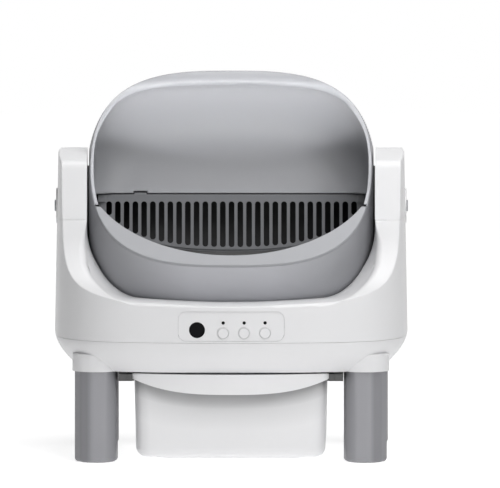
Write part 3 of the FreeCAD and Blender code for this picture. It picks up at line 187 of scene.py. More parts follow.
class LitterBoxStudio(PropertyGroup):
    """Camera and lights."""

    mm_per_pixel: FloatProperty(name="Millimetres per pixel", description="Scale of the front view",
                                default=1.548, min=0.5, max=5.0)
    camera_rise: FloatProperty(name="Camera rise", description="Angle of the view above the horizon",
                               subtype="ANGLE", unit="ROTATION", default=math.radians(5.0))
    camera_turn: FloatProperty(name="Camera turn", description="Angle of the view round the machine",
                               subtype="ANGLE", unit="ROTATION", default=math.radians(0.26))
    middle_column: FloatProperty(name="Middle column", description="Pixel column of the machine's middle",
                                 default=231.3)
    floor_row: FloatProperty(name="Floor row", description="Pixel row of the frame's origin", default=452.2)
    key: FloatProperty(name="Key", description="Power of the broad lamp above the front, to the right",
                       unit="POWER", default=22.3)
    top: FloatProperty(name="Top", description="Power of the lamp overhead", unit="POWER", default=11.6)
    fore: FloatProperty(name="Fore", description="Power of the lamp overhead and before the machine",
                        unit="POWER", default=13.0)
    side: FloatProperty(name="Side", description="Power of the weak lamp on the left", unit="POWER",
                        default=1.2)
    hood: FloatProperty(name="Hood", description="Power of the low lamp that lights the hood's roof",
                        unit="POWER", default=0.85)
    floor_glow: FloatProperty(name="Floor glow", description="Light that the pale floor throws upward",
                              default=0.42)


PICTURE_SIZE = (500, 488)
CAMERA_DISTANCE = 3.0


# Materials


def blend_colours(tree, first, second, factor):
    """A mix of two fixed colours by a factor socket."""
    mix = tree.nodes.new("ShaderNodeMix")
    mix.data_type = "RGBA"
    mix.inputs[6].default_value = (*first, 1.0)
    mix.inputs[7].default_value = (*second, 1.0)
    tree.links.new(factor, mix.inputs[0])
    return mix.outputs[2]


def grain(tree, coordinates, size, detail=3.0):
    """Noise whose features have about this size in metres."""
    noise = tree.nodes.new("ShaderNodeTexNoise")
    noise.inputs["Scale"].default_value = 1.0 / size
    noise.inputs["Detail"].default_value = detail
    tree.links.new(coordinates, noise.inputs["Vector"])
    return noise.outputs["Fac"]


def ranged(tree, value, low, high, source=(0.3, 0.7)):
    """The value, spread between two limits."""
    spread = tree.nodes.new("ShaderNodeMapRange")
    spread.inputs["From Min"].default_value = source[0]
    spread.inputs["From Max"].default_value = source[1]
    spread.inputs["To Min"].default_value = low
    spread.inputs["To Max"].default_value = high
    tree.links.new(value, spread.inputs["Value"])
    return spread.outputs["Result"]


def start_material(name):
    """An empty node material: its tree, its main shader and its object coordinates."""
    material = bpy.data.materials.new(name)
    material.use_nodes = True
    tree = material.node_tree
    shader = tree.nodes["Principled BSDF"]
    coordinates = tree.nodes.new("ShaderNodeTexCoord").outputs["Object"]
    return material, tree, shader, coordinates


def moulded(name, tint, roughness=0.45, grain_size=0.9 * MM, grain_depth=0.02 * MM, spread=0.015,
            specular=0.5):
    """Moulded plastic: fine spark-eroded grain, faint flow marks and uneven gloss."""
    material, tree, shader, coordinates = start_material(name)
    darker = [max(0.0, c * (1 - spread)) for c in tint]
    lighter = [min(1.0, c * (1 + spread)) for c in tint]
    flow = grain(tree, coordinates, 90 * MM, 2.0)
    tree.links.new(blend_colours(tree, darker, lighter, flow), shader.inputs["Base Color"])
    gloss = grain(tree, coordinates, 14 * MM, 4.0)
    tree.links.new(ranged(tree, gloss, roughness - 0.04, roughness + 0.04), shader.inputs["Roughness"])
    bump = tree.nodes.new("ShaderNodeBump")
    bump.inputs["Distance"].default_value = grain_depth
    bump.inputs["Strength"].default_value = 0.35
    tree.links.new(grain(tree, coordinates, grain_size), bump.inputs["Height"])
    tree.links.new(bump.outputs["Normal"], shader.inputs["Normal"])
    shader.inputs["Specular IOR Level"].default_value = specular
    return material


def sum_of(tree, operation, *values):
    """A math node on sockets or fixed numbers."""
    node = tree.nodes.new("ShaderNodeMath")
    node.operation = operation
    for index, value in enumerate(values):
        if isinstance(value, (int, float)):
            node.inputs[index].default_value = value
        else:
            tree.links.new(value, node.inputs[index])
    return node.outputs[0]


def axes_of(tree):
    """The three object coordinates."""
    place = tree.nodes.new("ShaderNodeSeparateXYZ")
    tree.links.new(tree.nodes.new("ShaderNodeTexCoord").outputs["Object"], place.inputs[0])
    return place.outputs


def tinted(tree, tint, factor):
    """Turns the material's colour towards another tint by a factor."""
    shader = tree.nodes["Principled BSDF"]
    mix = tree.nodes.new("ShaderNodeMix")
    mix.data_type = "RGBA"
    mix.inputs[7].default_value = (*tint, 1.0)
    tree.links.new(shader.inputs["Base Color"].links[0].from_socket, mix.inputs[6])
    tree.links.new(factor, mix.inputs[0])
    tree.links.new(mix.outputs[2], shader.inputs["Base Color"])


# Places, in metres, between which a finish turns from one tint to the next, to paint light or shade into it

SHELL_SHADE_TURN = (0.06, 0.20)
HOOD_SHADE_TURN = (0.40, 0.54)
RIM_FOLD_SHADE_TURN = (0.566, 0.574)
RIM_CROWN_SHADE_TURN = (0.579, 0.586)
LEG_OUTER_SHADE_TURN = (0.216, 0.223)
LEG_INNER_SHADE_TURN = (0.178, 0.196)
BIN_SOFT_TURN = (0.050, 0.086)
BIN_SHADE_TURN = (0.084, 0.106)

# The shells' inner side, which is painted near black as shade, lies below this share of the drum's form,
# and this far within its ends

SHELL_INSIDE = 0.978
SHELL_END = 1.5 * MM

# Roughness of the plastics

DRUM_GLOSS = 0.5
LEG_GLOSS = 0.45
WHITE_GLOSS = 0.42


def hood_plastic(name, roof, foot):
    """Plastic of the hood's inner skin, with painted shade that darkens it towards its foot."""
    material = moulded(name, roof, DRUM_GLOSS)
    tree = material.node_tree
    # Painted shade, deepest at the foot.
    tinted(tree, foot, ranged(tree, axes_of(tree)[2], 1.0, 0.0, HOOD_SHADE_TURN))
    return material


def rim_plastic(name, tint, fold, crown):
    """Plastic of the upper rim, with painted shade that darkens it at its top and in its fold there."""
    material = moulded(name, tint, DRUM_GLOSS)
    tree = material.node_tree
    height = axes_of(tree)[2]
    # Painted shade in the fold, then at the crown.
    tinted(tree, fold, ranged(tree, height, 0.0, 1.0, RIM_FOLD_SHADE_TURN))
    tinted(tree, crown, ranged(tree, height, 0.0, 1.0, RIM_CROWN_SHADE_TURN))
    return material


def leg_plastic(name, middle, sides):
    """Plastic of the legs, lighter at their middle as painted light and darker on their outer and inner
    sides as painted shade.
    """
    material = moulded(name, middle, LEG_GLOSS)
    tree = material.node_tree
    across = sum_of(tree, "ABSOLUTE", axes_of(tree)[0])
    # Painted shade on the outer and the inner sides.
    tinted(tree, sides, ranged(tree, across, 0.0, 0.9, LEG_OUTER_SHADE_TURN))
    tinted(tree, sides, ranged(tree, across, 1.0, 0.0, LEG_INNER_SHADE_TURN))
    return material


def bin_plastic(name, white, shade):
    """White plastic of the bin, lighter than the housing's white as painted light, with the shadow of its
    lip painted into it close below the lip's curved edge.
    """
    lip = bpy.context.scene.litter_box_bin
    material = moulded(name, white, WHITE_GLOSS)
    tree = material.node_tree
    x, _, z = axes_of(tree)
    wide = sum_of(tree, "DIVIDE", sum_of(tree, "ABSOLUTE", x), lip.lip_half_width)
    edge = sum_of(tree, "MULTIPLY", sum_of(tree, "POWER", wide, lip.lip_power), lip.lip_end_rise)
    height = sum_of(tree, "SUBTRACT", z, edge)
    half_shaded = [channel * 0.85 for channel in white]
    # Painted shadow of the lip: a soft fade, then the deep shade right below the edge.
    tinted(tree, half_shaded, ranged(tree, height, 0.0, 1.0, BIN_SOFT_TURN))
    tinted(tree, shade, ranged(tree, height, 0.0, 1.0, BIN_SHADE_TURN))
    return material


def drum_shell(name, middle, ends, hollow):
    """Drum plastic with painted light at the middle of the shell's outside, painted shade towards its ends,
    and a near-black painted shade on its inner side.
    """
    drum = bpy.context.scene.litter_box_drum
    material = moulded(name, middle, DRUM_GLOSS)
    tree = material.node_tree
    x, y, z = axes_of(tree)
    across = sum_of(tree, "ABSOLUTE", x)
    # Painted shade: the outside turns to the darker grey towards the drum's ends.
    tinted(tree, ends, ranged(tree, across, 0.0, 1.0, SHELL_SHADE_TURN))
    # Painted shade: the inner side, within the drum's form and its ends, turns near black.
    height = sum_of(tree, "SUBTRACT", z, PIVOT.z)
    squares = sum_of(tree, "ADD", sum_of(tree, "MULTIPLY", y, y), sum_of(tree, "MULTIPLY", height, height))
    span = sum_of(tree, "SQRT", squares)
    wide = sum_of(tree, "POWER", sum_of(tree, "DIVIDE", across, drum.half_length), drum.power)
    deep = sum_of(tree, "POWER", sum_of(tree, "DIVIDE", span, drum.radius), drum.power)
    shape = sum_of(tree, "ADD", wide, deep)
    inside = sum_of(tree, "LESS_THAN", shape, SHELL_INSIDE)
    between_ends = sum_of(tree, "LESS_THAN", across, drum.end - SHELL_END)
    tinted(tree, hollow, sum_of(tree, "MULTIPLY", inside, between_ends))
    return material


def metal(name, tint, roughness, streak=0.2 * MM):
    """Metal with fine turning or drawing marks."""
    material, tree, shader, coordinates = start_material(name)
    tree.links.new(blend_colours(tree, [c * 0.92 for c in tint], tint, grain(tree, coordinates, 6 * MM)),
                   shader.inputs["Base Color"])
    shader.inputs["Metallic"].default_value = 1.0
    tree.links.new(ranged(tree, grain(tree, coordinates, streak), roughness - 0.05, roughness + 0.08),
                   shader.inputs["Roughness"])
    return material


def finishes():
    """All the machine's materials by name."""
    look = bpy.context.scene.litter_box_finish
    return {
        "white": moulded("white_plastic", look.white, WHITE_GLOSS),
        "drum": moulded("drum_plastic", look.drum_grey, DRUM_GLOSS),
        "rim": rim_plastic("rim_plastic", look.drum_grey, look.rim_fold_shade, look.rim_crown_shade),
        "inner": hood_plastic("inner_plastic", look.inner_grey, look.inner_shade_grey),
        "sieve": moulded("sieve_plastic", look.sieve_grey, DRUM_GLOSS),
        "bowl": moulded("bowl_plastic", look.bowl_grey, DRUM_GLOSS),
        "deep": moulded("bowl_inside", look.bowl_inside_shade, DRUM_GLOSS),
        "leg": leg_plastic("leg_plastic", look.leg_lit_grey, look.leg_shaded_grey),
        "bin": bin_plastic("bin_plastic", look.bin_lit_white, look.bin_shade),
        "lip": moulded("lip_plastic", look.bin_lit_white, WHITE_GLOSS),
        "ring": moulded("ring_plastic", look.ring_shade_grey, 0.4),
        "rail": moulded("rail_plastic", look.rail_grey, 0.5),
        "black": moulded("black_window", look.black, 0.5, grain_depth=0.002 * MM, specular=0.05),
        "shell": drum_shell("drum_shell", look.drum_lit_grey, look.drum_shaded_grey, look.shell_inside_shade),
        "rubber": moulded("soft_rubber", look.rubber, 0.8, 1.5 * MM, 0.05 * MM, 0.05),
        "acetal": moulded("acetal", look.acetal, 0.35),
        "board": moulded("board_lacquer", look.board_green, 0.3),
        "lamp": moulded("light_pipe", look.lamp, 0.4, grain_depth=0.004 * MM, specular=0.1),
        "steel": metal("zinc_steel", look.steel, 0.35),
        "bearing": metal("ground_steel", look.steel, 0.2),
    }


FINISHES = {}


def finish_of(name):
    """One of the materials, made when it is first asked for."""
    if not FINISHES:
        FINISHES.update(finishes())
    return FINISHES[name]


def dress(finish, *names):
    """Gives CAD nodes a material."""
    for name in names:
        node = NODES[name]
        node.data.materials.clear()
        node.data.materials.append(finish_of(finish))


# Mesh making


def new_piece(name, verts, faces, finish, body, sharp=40.0):
    """A mesh piece in the frame, with its finish, that rides on a body."""
    mesh = bpy.data.meshes.new(name)
    mesh.from_pydata(verts, [], faces)
    work = bmesh.new()
    work.from_mesh(mesh)
    bmesh.ops.remove_doubles(work, verts=work.verts, dist=0.01 * MM)
    bmesh.ops.recalc_face_normals(work, faces=work.faces)
    work.to_mesh(mesh)
    work.free()
    mesh.shade_smooth()
    mesh.set_sharp_from_angle(angle=math.radians(sharp))
    mesh.materials.append(finish_of(finish))
    piece = add_object(name, mesh)
    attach(piece, body)
    return piece


def loft(sections, closed_run=False):
    """Vertices and faces between closed sections of equal length, capped unless the run closes."""
    count = len(sections[0])
    verts = [point for section in sections for point in section]
    faces = []
    turns = len(sections) if closed_run else len(sections) - 1
    for row in range(turns):
        here = row * count
        there = ((row + 1) % len(sections)) * count
        for index in range(count):
            after = (index + 1) % count
            faces.append((here + index, here + after, there + after, there + index))
    if not closed_run:
        faces.append(tuple(reversed(range(count))))
        faces.append(tuple(range((len(sections) - 1) * count, len(sections) * count)))
    return verts, faces


def bisected(low, high, inside, steps=26):
    """The distance at which a value that is positive at low turns negative."""
    for _ in range(steps):
        middle = (low + high) / 2
        if inside(middle) > 0:
            low = middle
        else:
            high = middle
    return (low + high) / 2


def soft_least(first, second, reach):
    """The lesser of two lengths, blended where they are close."""
    near = max(0.0, reach - abs(first - second)) / reach
    return min(first, second) - near * near * reach / 4


def eased(value, low, high):
    """Nought below low, one above high, and a smooth rise between."""
    share = min(1.0, max(0.0, (value - low) / (high - low)))
    return share * share * (3 - 2 * share)


# The soft inner edge of the housing's cradle


def parts_front_from_cradle(edge):
    """Whether an edge has the housing's front on one side and the cradle's inner face on the other."""
    cradle = bpy.context.scene.litter_box_cradle
    if len(edge.link_faces) != 2 or edge.calc_face_angle() < math.radians(25):
        return False
    middle = (edge.verts[0].co + edge.verts[1].co) / 2
    if middle.y > cradle.front or not cradle.foot < middle.z < cradle.head:
        return False
    front, inner = sorted((face.normal for face in edge.link_faces), key=lambda normal: normal.y)
    faces_drum = inner.z > 0.5 or inner.x * math.copysign(1.0, middle.x) < -0.6
    return front.y <= -0.35 and inner.y >= -0.3 and faces_drum


def cradle_edge(work):
    """Points along the cradle's front edge, left to right, with the normals of the faces beside it."""
    cradle = bpy.context.scene.litter_box_cradle
    points = {}
    for edge in work.edges:
        if not parts_front_from_cradle(edge):
            continue
        front, inner = sorted((face.normal for face in edge.link_faces), key=lambda normal: normal.y)
        for vert in edge.verts:
            sums = points.setdefault(vert.index, [vert.co.copy(), Vector(), Vector()])
            sums[1] += front
            sums[2] += inner
    around = sorted(points.values(), key=lambda point: math.atan2(point[0].x, PIVOT.z - point[0].z))
    line = []
    for place, front, inner in around:
        if abs(place.x) < cradle.centre_half:
            front = Vector((1.24 * place.x, -1.0, 0.02))
            share = max(0.0, 1 - (place.x / cradle.centre_reach) ** 2)
            place = place - Vector((0.0, cradle.set_back * share, 0.0))
        line.append((place, front.normalized(), inner.normalized()))
    return line


def evened(line, spacing, reach):
    """The line at even steps, its normals averaged over a reach."""
    lengths = [0.0]
    for before, after in zip(line, line[1:]):
        lengths.append(lengths[-1] + (after[0] - before[0]).length)
    count = int(lengths[-1] / spacing)
    even = []
    index = 0
    for step in range(count + 1):
        at = lengths[-1] * step / count
        while index < len(line) - 2 and lengths[index + 1] < at:
            index += 1
        span = max(lengths[index + 1] - lengths[index], 1e-9)
        share = (at - lengths[index]) / span
        even.append(tuple(line[index][part].lerp(line[index + 1][part], share) for part in range(3)))
    width = int(reach / spacing)
    smooth = []
    for step, (place, front, inner) in enumerate(even):
        near = even[max(0, step - width):step + width + 1]
        front = sum((item[1] for item in near), Vector()).normalized()
        inner = sum((item[2] for item in near), Vector()).normalized()
        smooth.append((place, front, inner))
    return smooth


def edge_radius(place):
    """Radius of the rounding at a place of the edge, largest at the lower corners."""
    cradle = bpy.context.scene.litter_box_cradle
    upper = eased(cradle.head - place.z, 0.0, cradle.run)
    centre = eased(cradle.corner_start - abs(place.x), 0.0, cradle.corner_run)
    return cradle.round_head + cradle.round_corner * upper * (1 - centre) + cradle.round_centre * centre


def edge_cutter(line):
    """Sections of a swept form whose hollow side rounds the edge it is cut from."""
    steps, past, lift, cover = 10, 3 * MM, 0.4 * MM, 5 * MM
    sections = []
    for place, front, inner in line:
        radius = edge_radius(place)
        half = front.angle(inner) / 2
        reach = radius * math.tan(half)
        middle = (front + inner).normalized()
        along_front = (front * inner.dot(front) - inner).normalized()
        along_inner = (inner * front.dot(inner) - front).normalized()
        centre = place - middle * (radius / math.cos(half))
        section = [place + along_front * (reach + past) + front * lift]
        for index in range(steps + 1):
            turn = 2 * half * index / steps
            outward = front * math.sin(2 * half - turn) + inner * math.sin(turn)
            section.append(centre + outward * (radius / math.sin(2 * half)))
        section.append(place + along_inner * (reach + past) + inner * lift)
        section.append(place + middle * cover)
        sections.append(section)
    return sections


def cut_by(body, sections):
    """Replaces an object's mesh with what a form lofted through sections leaves of it."""
    verts, faces = loft(sections)
    form = bpy.data.meshes.new("cutter")
    form.from_pydata(verts, [], faces)
    work = bmesh.new()
    work.from_mesh(form)
    bmesh.ops.recalc_face_normals(work, faces=work.faces)
    work.to_mesh(form)
    work.free()
    cutter = add_object("cutter", form)
    cut = body.modifiers.new("cut", "BOOLEAN")
    cut.object = cutter
    cut.operation = "DIFFERENCE"
    cut.solver = "EXACT"
    bpy.context.view_layer.update()
    left = body.evaluated_get(bpy.context.evaluated_depsgraph_get())
    result = bpy.data.meshes.new_from_object(left)
    body.modifiers.clear()
    body.data = result
    bpy.data.objects.remove(cutter)
    return result


def rounded_housing():
    """The upper housing with the cradle's front edge rounded, widest at the lower corners."""
    work = bmesh.new()
    work.from_mesh(NODES["upper_housing"].data)
    bmesh.ops.remove_doubles(work, verts=work.verts, dist=0.01 * MM)
    line = evened(cradle_edge(work), 3 * MM, 12 * MM)
    mesh = bpy.data.meshes.new("housing_upper")
    work.to_mesh(mesh)
    work.free()
    housing = add_object("housing_upper", mesh)
    result = cut_by(housing, edge_cutter(line))
    result.materials.clear()
    result.materials.append(finish_of("white"))
    result.shade_smooth()
    result.set_sharp_from_angle(angle=math.radians(28))
    even = housing.modifiers.new("even_shading", "WEIGHTED_NORMAL")
    even.keep_sharp = True
    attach(housing, "base")
    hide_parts("upper_housing")


# Grey rings at the keys' edges, as painted shade


def key_ring(key):
    """A thin round grey ring let into the edge of a key's face, as painted shade along that edge."""
    ring = bpy.context.scene.litter_box_keys
    corners = [vert.co for vert in NODES[key].data.vertices]
    face = min(corner.y for corner in corners)
    front = [corner for corner in corners if corner.y < face + 0.2 * MM]
    middle = (min(corner.x for corner in front) + max(corner.x for corner in front)) / 2
    height = (min(corner.z for corner in front) + max(corner.z for corner in front)) / 2
    centre = Vector((middle, face + ring.inset, height))
    turns, rolls = 72, 10
    sections = []
    for step in range(turns):
        turn = 2 * math.pi * step / turns
        outward = Vector((math.cos(turn), 0.0, math.sin(turn)))
        section = []
        for index in range(rolls):
            roll = 2 * math.pi * index / rolls
            depth = Vector((0.0, ring.half_depth * math.sin(roll), 0.0))
            section.append(centre + outward * (ring.radius + ring.half_width * math.cos(roll)) + depth)
        sections.append(section)
    verts, faces = loft(sections, closed_run=True)
    new_piece(key.replace("key", "key_ring"), verts, faces, "ring", key)


# The drum's mouth and the inside of its hood


class Mouth:
    """The plane of the drum's mouth and the curves on it."""

    def __init__(self, drum):
        self.drum = drum
        self.normal = Vector((0.0, -math.sin(drum.mouth_tilt), math.cos(drum.mouth_tilt)))
        self.up = Vector((0.0, math.cos(drum.mouth_tilt), math.sin(drum.mouth_tilt)))
        share = drum.lip_corner / drum.mouth_half_height
        self.start = -math.asin(share ** (drum.mouth_power / 2))
        corner_half = drum.mouth_half_width * (1 - share ** drum.mouth_power) ** (1 / drum.mouth_power)
        lip_start = math.asin(drum.lip_corner / drum.lip_drop)
        self.lip_half = corner_half / math.cos(lip_start)

    def opening(self, across, rise):
        """About how far a point lies inside the opening's edge."""
        drum = self.drum
        if rise < -drum.lip_corner:
            return drum.lip_drop * (1 - math.hypot(across / self.lip_half, rise / drum.lip_drop))
        power = drum.mouth_power
        wide = (abs(across) / drum.mouth_half_width) ** power
        tall = (abs(rise) / drum.mouth_half_height) ** power
        return drum.mouth_half_height * (1 - (wide + tall) ** (1 / power))

    def edge(self, turn):
        """Point of the opening's upper curve on the plane, at a turn from its right end."""
        drum = self.drum
        across = math.copysign(abs(math.cos(turn)) ** (2 / drum.mouth_power), math.cos(turn))
        rise = math.copysign(abs(math.sin(turn)) ** (2 / drum.mouth_power), math.sin(turn))
        return across * drum.mouth_half_width, rise * drum.mouth_half_height

    def softness(self, across, rise):
        """How softly the rim rolls into the hood: one at the top, nought at the sides."""
        drum = self.drum
        inward = eased(drum.fade_side - abs(across), 0.0, drum.fade_width)
        return inward * eased(rise, drum.fade_foot, drum.fade_head)

    def back(self, rise):
        """Distance from the pivot of the tilted plane where the rim meets the hood's skin."""
        drum = self.drum
        slope = (drum.rim_depth - drum.rim) / (drum.mouth_half_height + drum.lip_corner)
        return drum.mouth_offset - drum.rim - slope * (rise + drum.lip_corner)

    def place(self, across, rise, distance):
        """Point of the frame at a place on the plane and a distance from the pivot."""
        return PIVOT + Vector((across, 0, 0)) + self.up * rise + self.normal * distance


def drum_room(drum, inset, point):
    """About how far a point, seen from the pivot, lies inside the drum's form less an inset."""
    wide = (abs(point.x) / (drum.half_length - inset)) ** drum.power
    deep = (math.hypot(point.y, point.z) / (drum.radius - inset)) ** drum.power
    wall = (drum.radius - inset) * (1 - (wide + deep) ** (1 / drum.power))
    return wall, drum.end - inset - abs(point.x)


def hood_room(drum, mouth, scoop, point):
    """About how far a point, seen from the pivot, lies inside the hood's inner skin."""
    scoop_rise, radius = scoop
    wall, end = drum_room(drum, drum.skin, point)
    hollow = radius - math.hypot(max(point.y, 0.0), point.z - scoop_rise)
    room = soft_least(wall, hollow, drum.scoop_blend)
    room = soft_least(room, end, drum.end_blend)
    distance = point.dot(mouth.normal)
    rise = point.dot(mouth.up)
    shoulder = (mouth.opening(point.x, rise) + drum.mouth_offset - distance) * math.sqrt(0.5)
    reach = drum.shoulder_blend + drum.shoulder_gain * mouth.softness(point.x, rise)
    return soft_least(room, shoulder, reach)


def scoop_curve(drum):
    """Rise of the scoop's centre above the pivot, and its radius at the skin's face."""
    roof = drum.radius - drum.skin + drum.skin_wall
    rise = (roof ** 2 - drum.scoop_back ** 2 - drum.parting ** 2) / (2 * (roof - drum.parting))
    return rise, roof - rise - drum.skin_wall


def cut_away(work, place, normal):
    """Removes what lies on the side of a plane that its normal points to."""
    bmesh.ops.bisect_plane(work, geom=work.verts[:] + work.edges[:] + work.faces[:], dist=0.001 * MM,
                           plane_co=place, plane_no=normal, clear_outer=True)


def score(work, place, normal):
    """Draws the line where a plane meets the mesh."""
    bmesh.ops.bisect_plane(work, geom=work.verts[:] + work.edges[:] + work.faces[:], dist=0.001 * MM,
                           plane_co=place, plane_no=normal)


def hollow_form(drum, mouth):
    """Vertices and faces of the closed hollow, found along rays from a point inside it."""
    centre = Vector((0.0, -20 * MM, 62 * MM))
    past_the_drum = 0.4
    scoop = scoop_curve(drum)
    rows, columns = 110, 168
    verts, faces = [], []
    for row in range(rows + 1):
        tilt = math.pi * row / rows
        for column in range(columns):
            turn = 2 * math.pi * column / columns
            ray = Vector((math.cos(tilt), math.sin(tilt) * math.cos(turn), math.sin(tilt) * math.sin(turn)))
            reach = bisected(0.0, past_the_drum,
                             lambda far: hood_room(drum, mouth, scoop, centre + ray * far))
            verts.append(PIVOT + centre + ray * reach)
    for row in range(rows):
        for column in range(columns):
            after = (column + 1) % columns
            here, there = row * columns, (row + 1) * columns
            faces.append((here + column, here + after, there + after, there + column))
    return verts, faces


def cut_notch(work, drum, foot):
    """Takes the notch for the sieve's tab out of the skin's foot."""
    top = foot + drum.notch_height
    score(work, Vector((drum.notch_left, 0, 0)), Vector((1, 0, 0)))
    score(work, Vector((drum.notch_right, 0, 0)), Vector((1, 0, 0)))
    score(work, Vector((0, 0, top)), Vector((0, 0, 1)))
    notch = []
    for face in work.faces:
        middle = face.calc_center_median()
        if drum.notch_left < middle.x < drum.notch_right and middle.z < top and middle.y > 0:
            notch.append(face)
    bmesh.ops.delete(work, geom=notch, context="FACES")


def hood_skin(drum, mouth):
    """The hood's inner skin: one smooth hollow from the rim to the sieve."""
    verts, faces = hollow_form(drum, mouth)
    skin = new_piece("hood_skin", verts, faces, "inner", "drum")
    work = bmesh.new()
    work.from_mesh(skin.data)
    foot = PIVOT.z + drum.parting + drum.seam
    cut_away(work, Vector((0.0, 0.0, foot)), Vector((0.0, 0.0, -1.0)))
    rise = 0.1
    slope = (mouth.back(0.0) - mouth.back(rise)) / rise
    cut_away(work, mouth.place(0.0, 0.0, mouth.back(0.0)), mouth.normal + mouth.up * slope)
    cut_notch(work, drum, foot)
    work.to_mesh(skin.data)
    work.free()
    thick = skin.modifiers.new("wall", "SOLIDIFY")
    thick.thickness = drum.skin_wall
    thick.offset = 1.0
    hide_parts("hood_liner")


def rounded_corner(before, corner, after, radius, steps):
    """Points of the arc that rounds a corner between two runs, in the plane."""
    before, corner, after = Vector(before), Vector(corner), Vector(after)
    first = (before - corner).normalized()
    second = (after - corner).normalized()
    half = first.angle(second) / 2
    shorter = min((before - corner).length, (after - corner).length)
    radius = min(radius, 0.95 * math.tan(half) * shorter)
    centre = corner + (first + second).normalized() * (radius / math.sin(half))
    start = corner + first * (radius / math.tan(half)) - centre
    finish = corner + second * (radius / math.tan(half)) - centre
    spread = start.angle(finish)
    arc = []
    for index in range(steps + 1):
        turn = spread * index / steps
        place = start * math.sin(spread - turn) + finish * math.sin(turn)
        arc.append(tuple(centre + place / math.sin(spread)))
    return arc


def rim_section(drum, mouth, scoop, across, rise, outward):
    """Closed section of the mouth's rim where the opening's edge passes a point of the plane."""
    climb = outward.dot(mouth.up)
    nearest, farthest = -12 * MM, 60 * MM
    roll_steps, brow_steps = 14, 5

    def reach(room, distance):
        def inside(out):
            place = mouth.place(across, rise, distance(rise + out * climb))
            return room(place - PIVOT + outward * out)
        return bisected(nearest, farthest, inside)

    def outer(point):
        return min(drum_room(drum, 0.0, point))

    def inner(point):
        return hood_room(drum, mouth, scoop, point)

    front = drum.mouth_offset
    back = front - drum.rim
    wide = reach(outer, lambda height: front)
    wide_back = reach(outer, lambda height: back)
    skin = reach(inner, mouth.back)
    deep = mouth.back(rise + skin * climb)
    deeper = reach(inner, lambda height: mouth.back(height) - MM)
    soft = mouth.softness(across, rise)
    straight_on = skin + (skin - deeper) * (front - deep) / MM
    edge = min(0.0, skin) * (1 - soft) + straight_on * soft
    roll = drum.rim_edge + (drum.rim_roll - drum.rim_edge) * soft
    brow = drum.brow + drum.brow_gain * soft
    foot = (skin - drum.rim_proud, deep)
    corner = (edge - drum.rim_proud, front)
    section = [foot]
    section += rounded_corner(foot, corner, (wide - 1.3 * brow, front), roll, roll_steps)
    section += rounded_corner((edge, front), (wide, front), (wide_back, back), brow, brow_steps)
    section.append((wide_back, back))
    section.append((wide_back - drum.rim, back))
    section.append((skin + drum.skin_wall, deep))
    return [mouth.place(across, rise, distance) + outward * out for out, distance in section]


def hood_rim(drum, mouth):
    """The upper rim: flat at the sides, rolled softly into the hood at the top."""
    steps, beside = 180, 0.001
    last = math.pi - mouth.start
    scoop = scoop_curve(drum)
    sections = []
    for index in range(steps + 1):
        turn = mouth.start + (last - mouth.start) * index / steps
        across, rise = mouth.edge(turn)
        ahead = mouth.edge(turn + beside)
        behind = mouth.edge(turn - beside)
        run = Vector((ahead[0] - behind[0], 0, 0)) + mouth.up * (ahead[1] - behind[1])
        outward = run.cross(mouth.normal).normalized()
        sections.append(rim_section(drum, mouth, scoop, across, rise, outward))
    verts, faces = loft(sections)
    rim = new_piece("mouth_rim", verts, faces, "rim", "drum", sharp=50.0)
    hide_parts("hood_rim")


# Stage


def aim(thing, target):
    """Turns a lamp or the camera to look at a point."""
    thing.rotation_euler = (Vector(target) - thing.location).to_track_quat("-Z", "Y").to_euler()


def add_object(name, data):
    """Links a new object to the scene."""
    made = bpy.data.objects.new(name, data)
    bpy.context.scene.collection.objects.link(made)
    return made


def add_lamp(studio, name, power, place, target, size):
    """One soft rectangular lamp, with the power that the studio names."""
    light = bpy.data.lights.new(name, "AREA")
    light.shape = "RECTANGLE"
    light.size, light.size_y = size
    light.energy = getattr(studio, power)
    made = add_object(name, light)
    made.location = place
    aim(made, target)
    return made


def seen_directly(tree):
    """One for camera, glossy and transmission rays, nought for the rest."""
    path = tree.nodes.new("ShaderNodeLightPath")
    seen = path.outputs["Is Camera Ray"]
    for output in ("Is Glossy Ray", "Is Transmission Ray"):
        most = tree.nodes.new("ShaderNodeMath")
        most.operation = "MAXIMUM"
        tree.links.new(seen, most.inputs[0])
        tree.links.new(path.outputs[output], most.inputs[1])
        seen = most.outputs[0]
    return seen


def glow_between(tree, kind, low, high):
    """A white glow shader of one strength for light and another, or a varied one, where it is seen."""
    mix = tree.nodes.new("ShaderNodeMixShader")
    tree.links.new(seen_directly(tree), mix.inputs[0])
    for slot, strength in ((1, low), (2, high)):
        glow = tree.nodes.new(kind)
        if isinstance(strength, float):
            glow.inputs["Strength"].default_value = strength
        else:
            tree.links.new(strength, glow.inputs["Strength"])
        glow.inputs["Color"].default_value = (1.0, 1.0, 1.0, 1.0)
        tree.links.new(glow.outputs[0], mix.inputs[slot])
    return mix.outputs[0]


def make_world():
    """Pure white behind the machine; the lamps and the floor give the light."""
    world = bpy.data.worlds.new("studio")
    bpy.context.scene.world = world
    world.use_nodes = True
    tree = world.node_tree
    tree.nodes.remove(tree.nodes["Background"])
    tree.links.new(glow_between(tree, "ShaderNodeBackground", 0.0, 1.0),
                   tree.nodes["World Output"].inputs["Surface"])


# Distances from the machine, in metres, between which the floor fades to the white behind it

FLOOR_FADE = (0.7, 2.2)


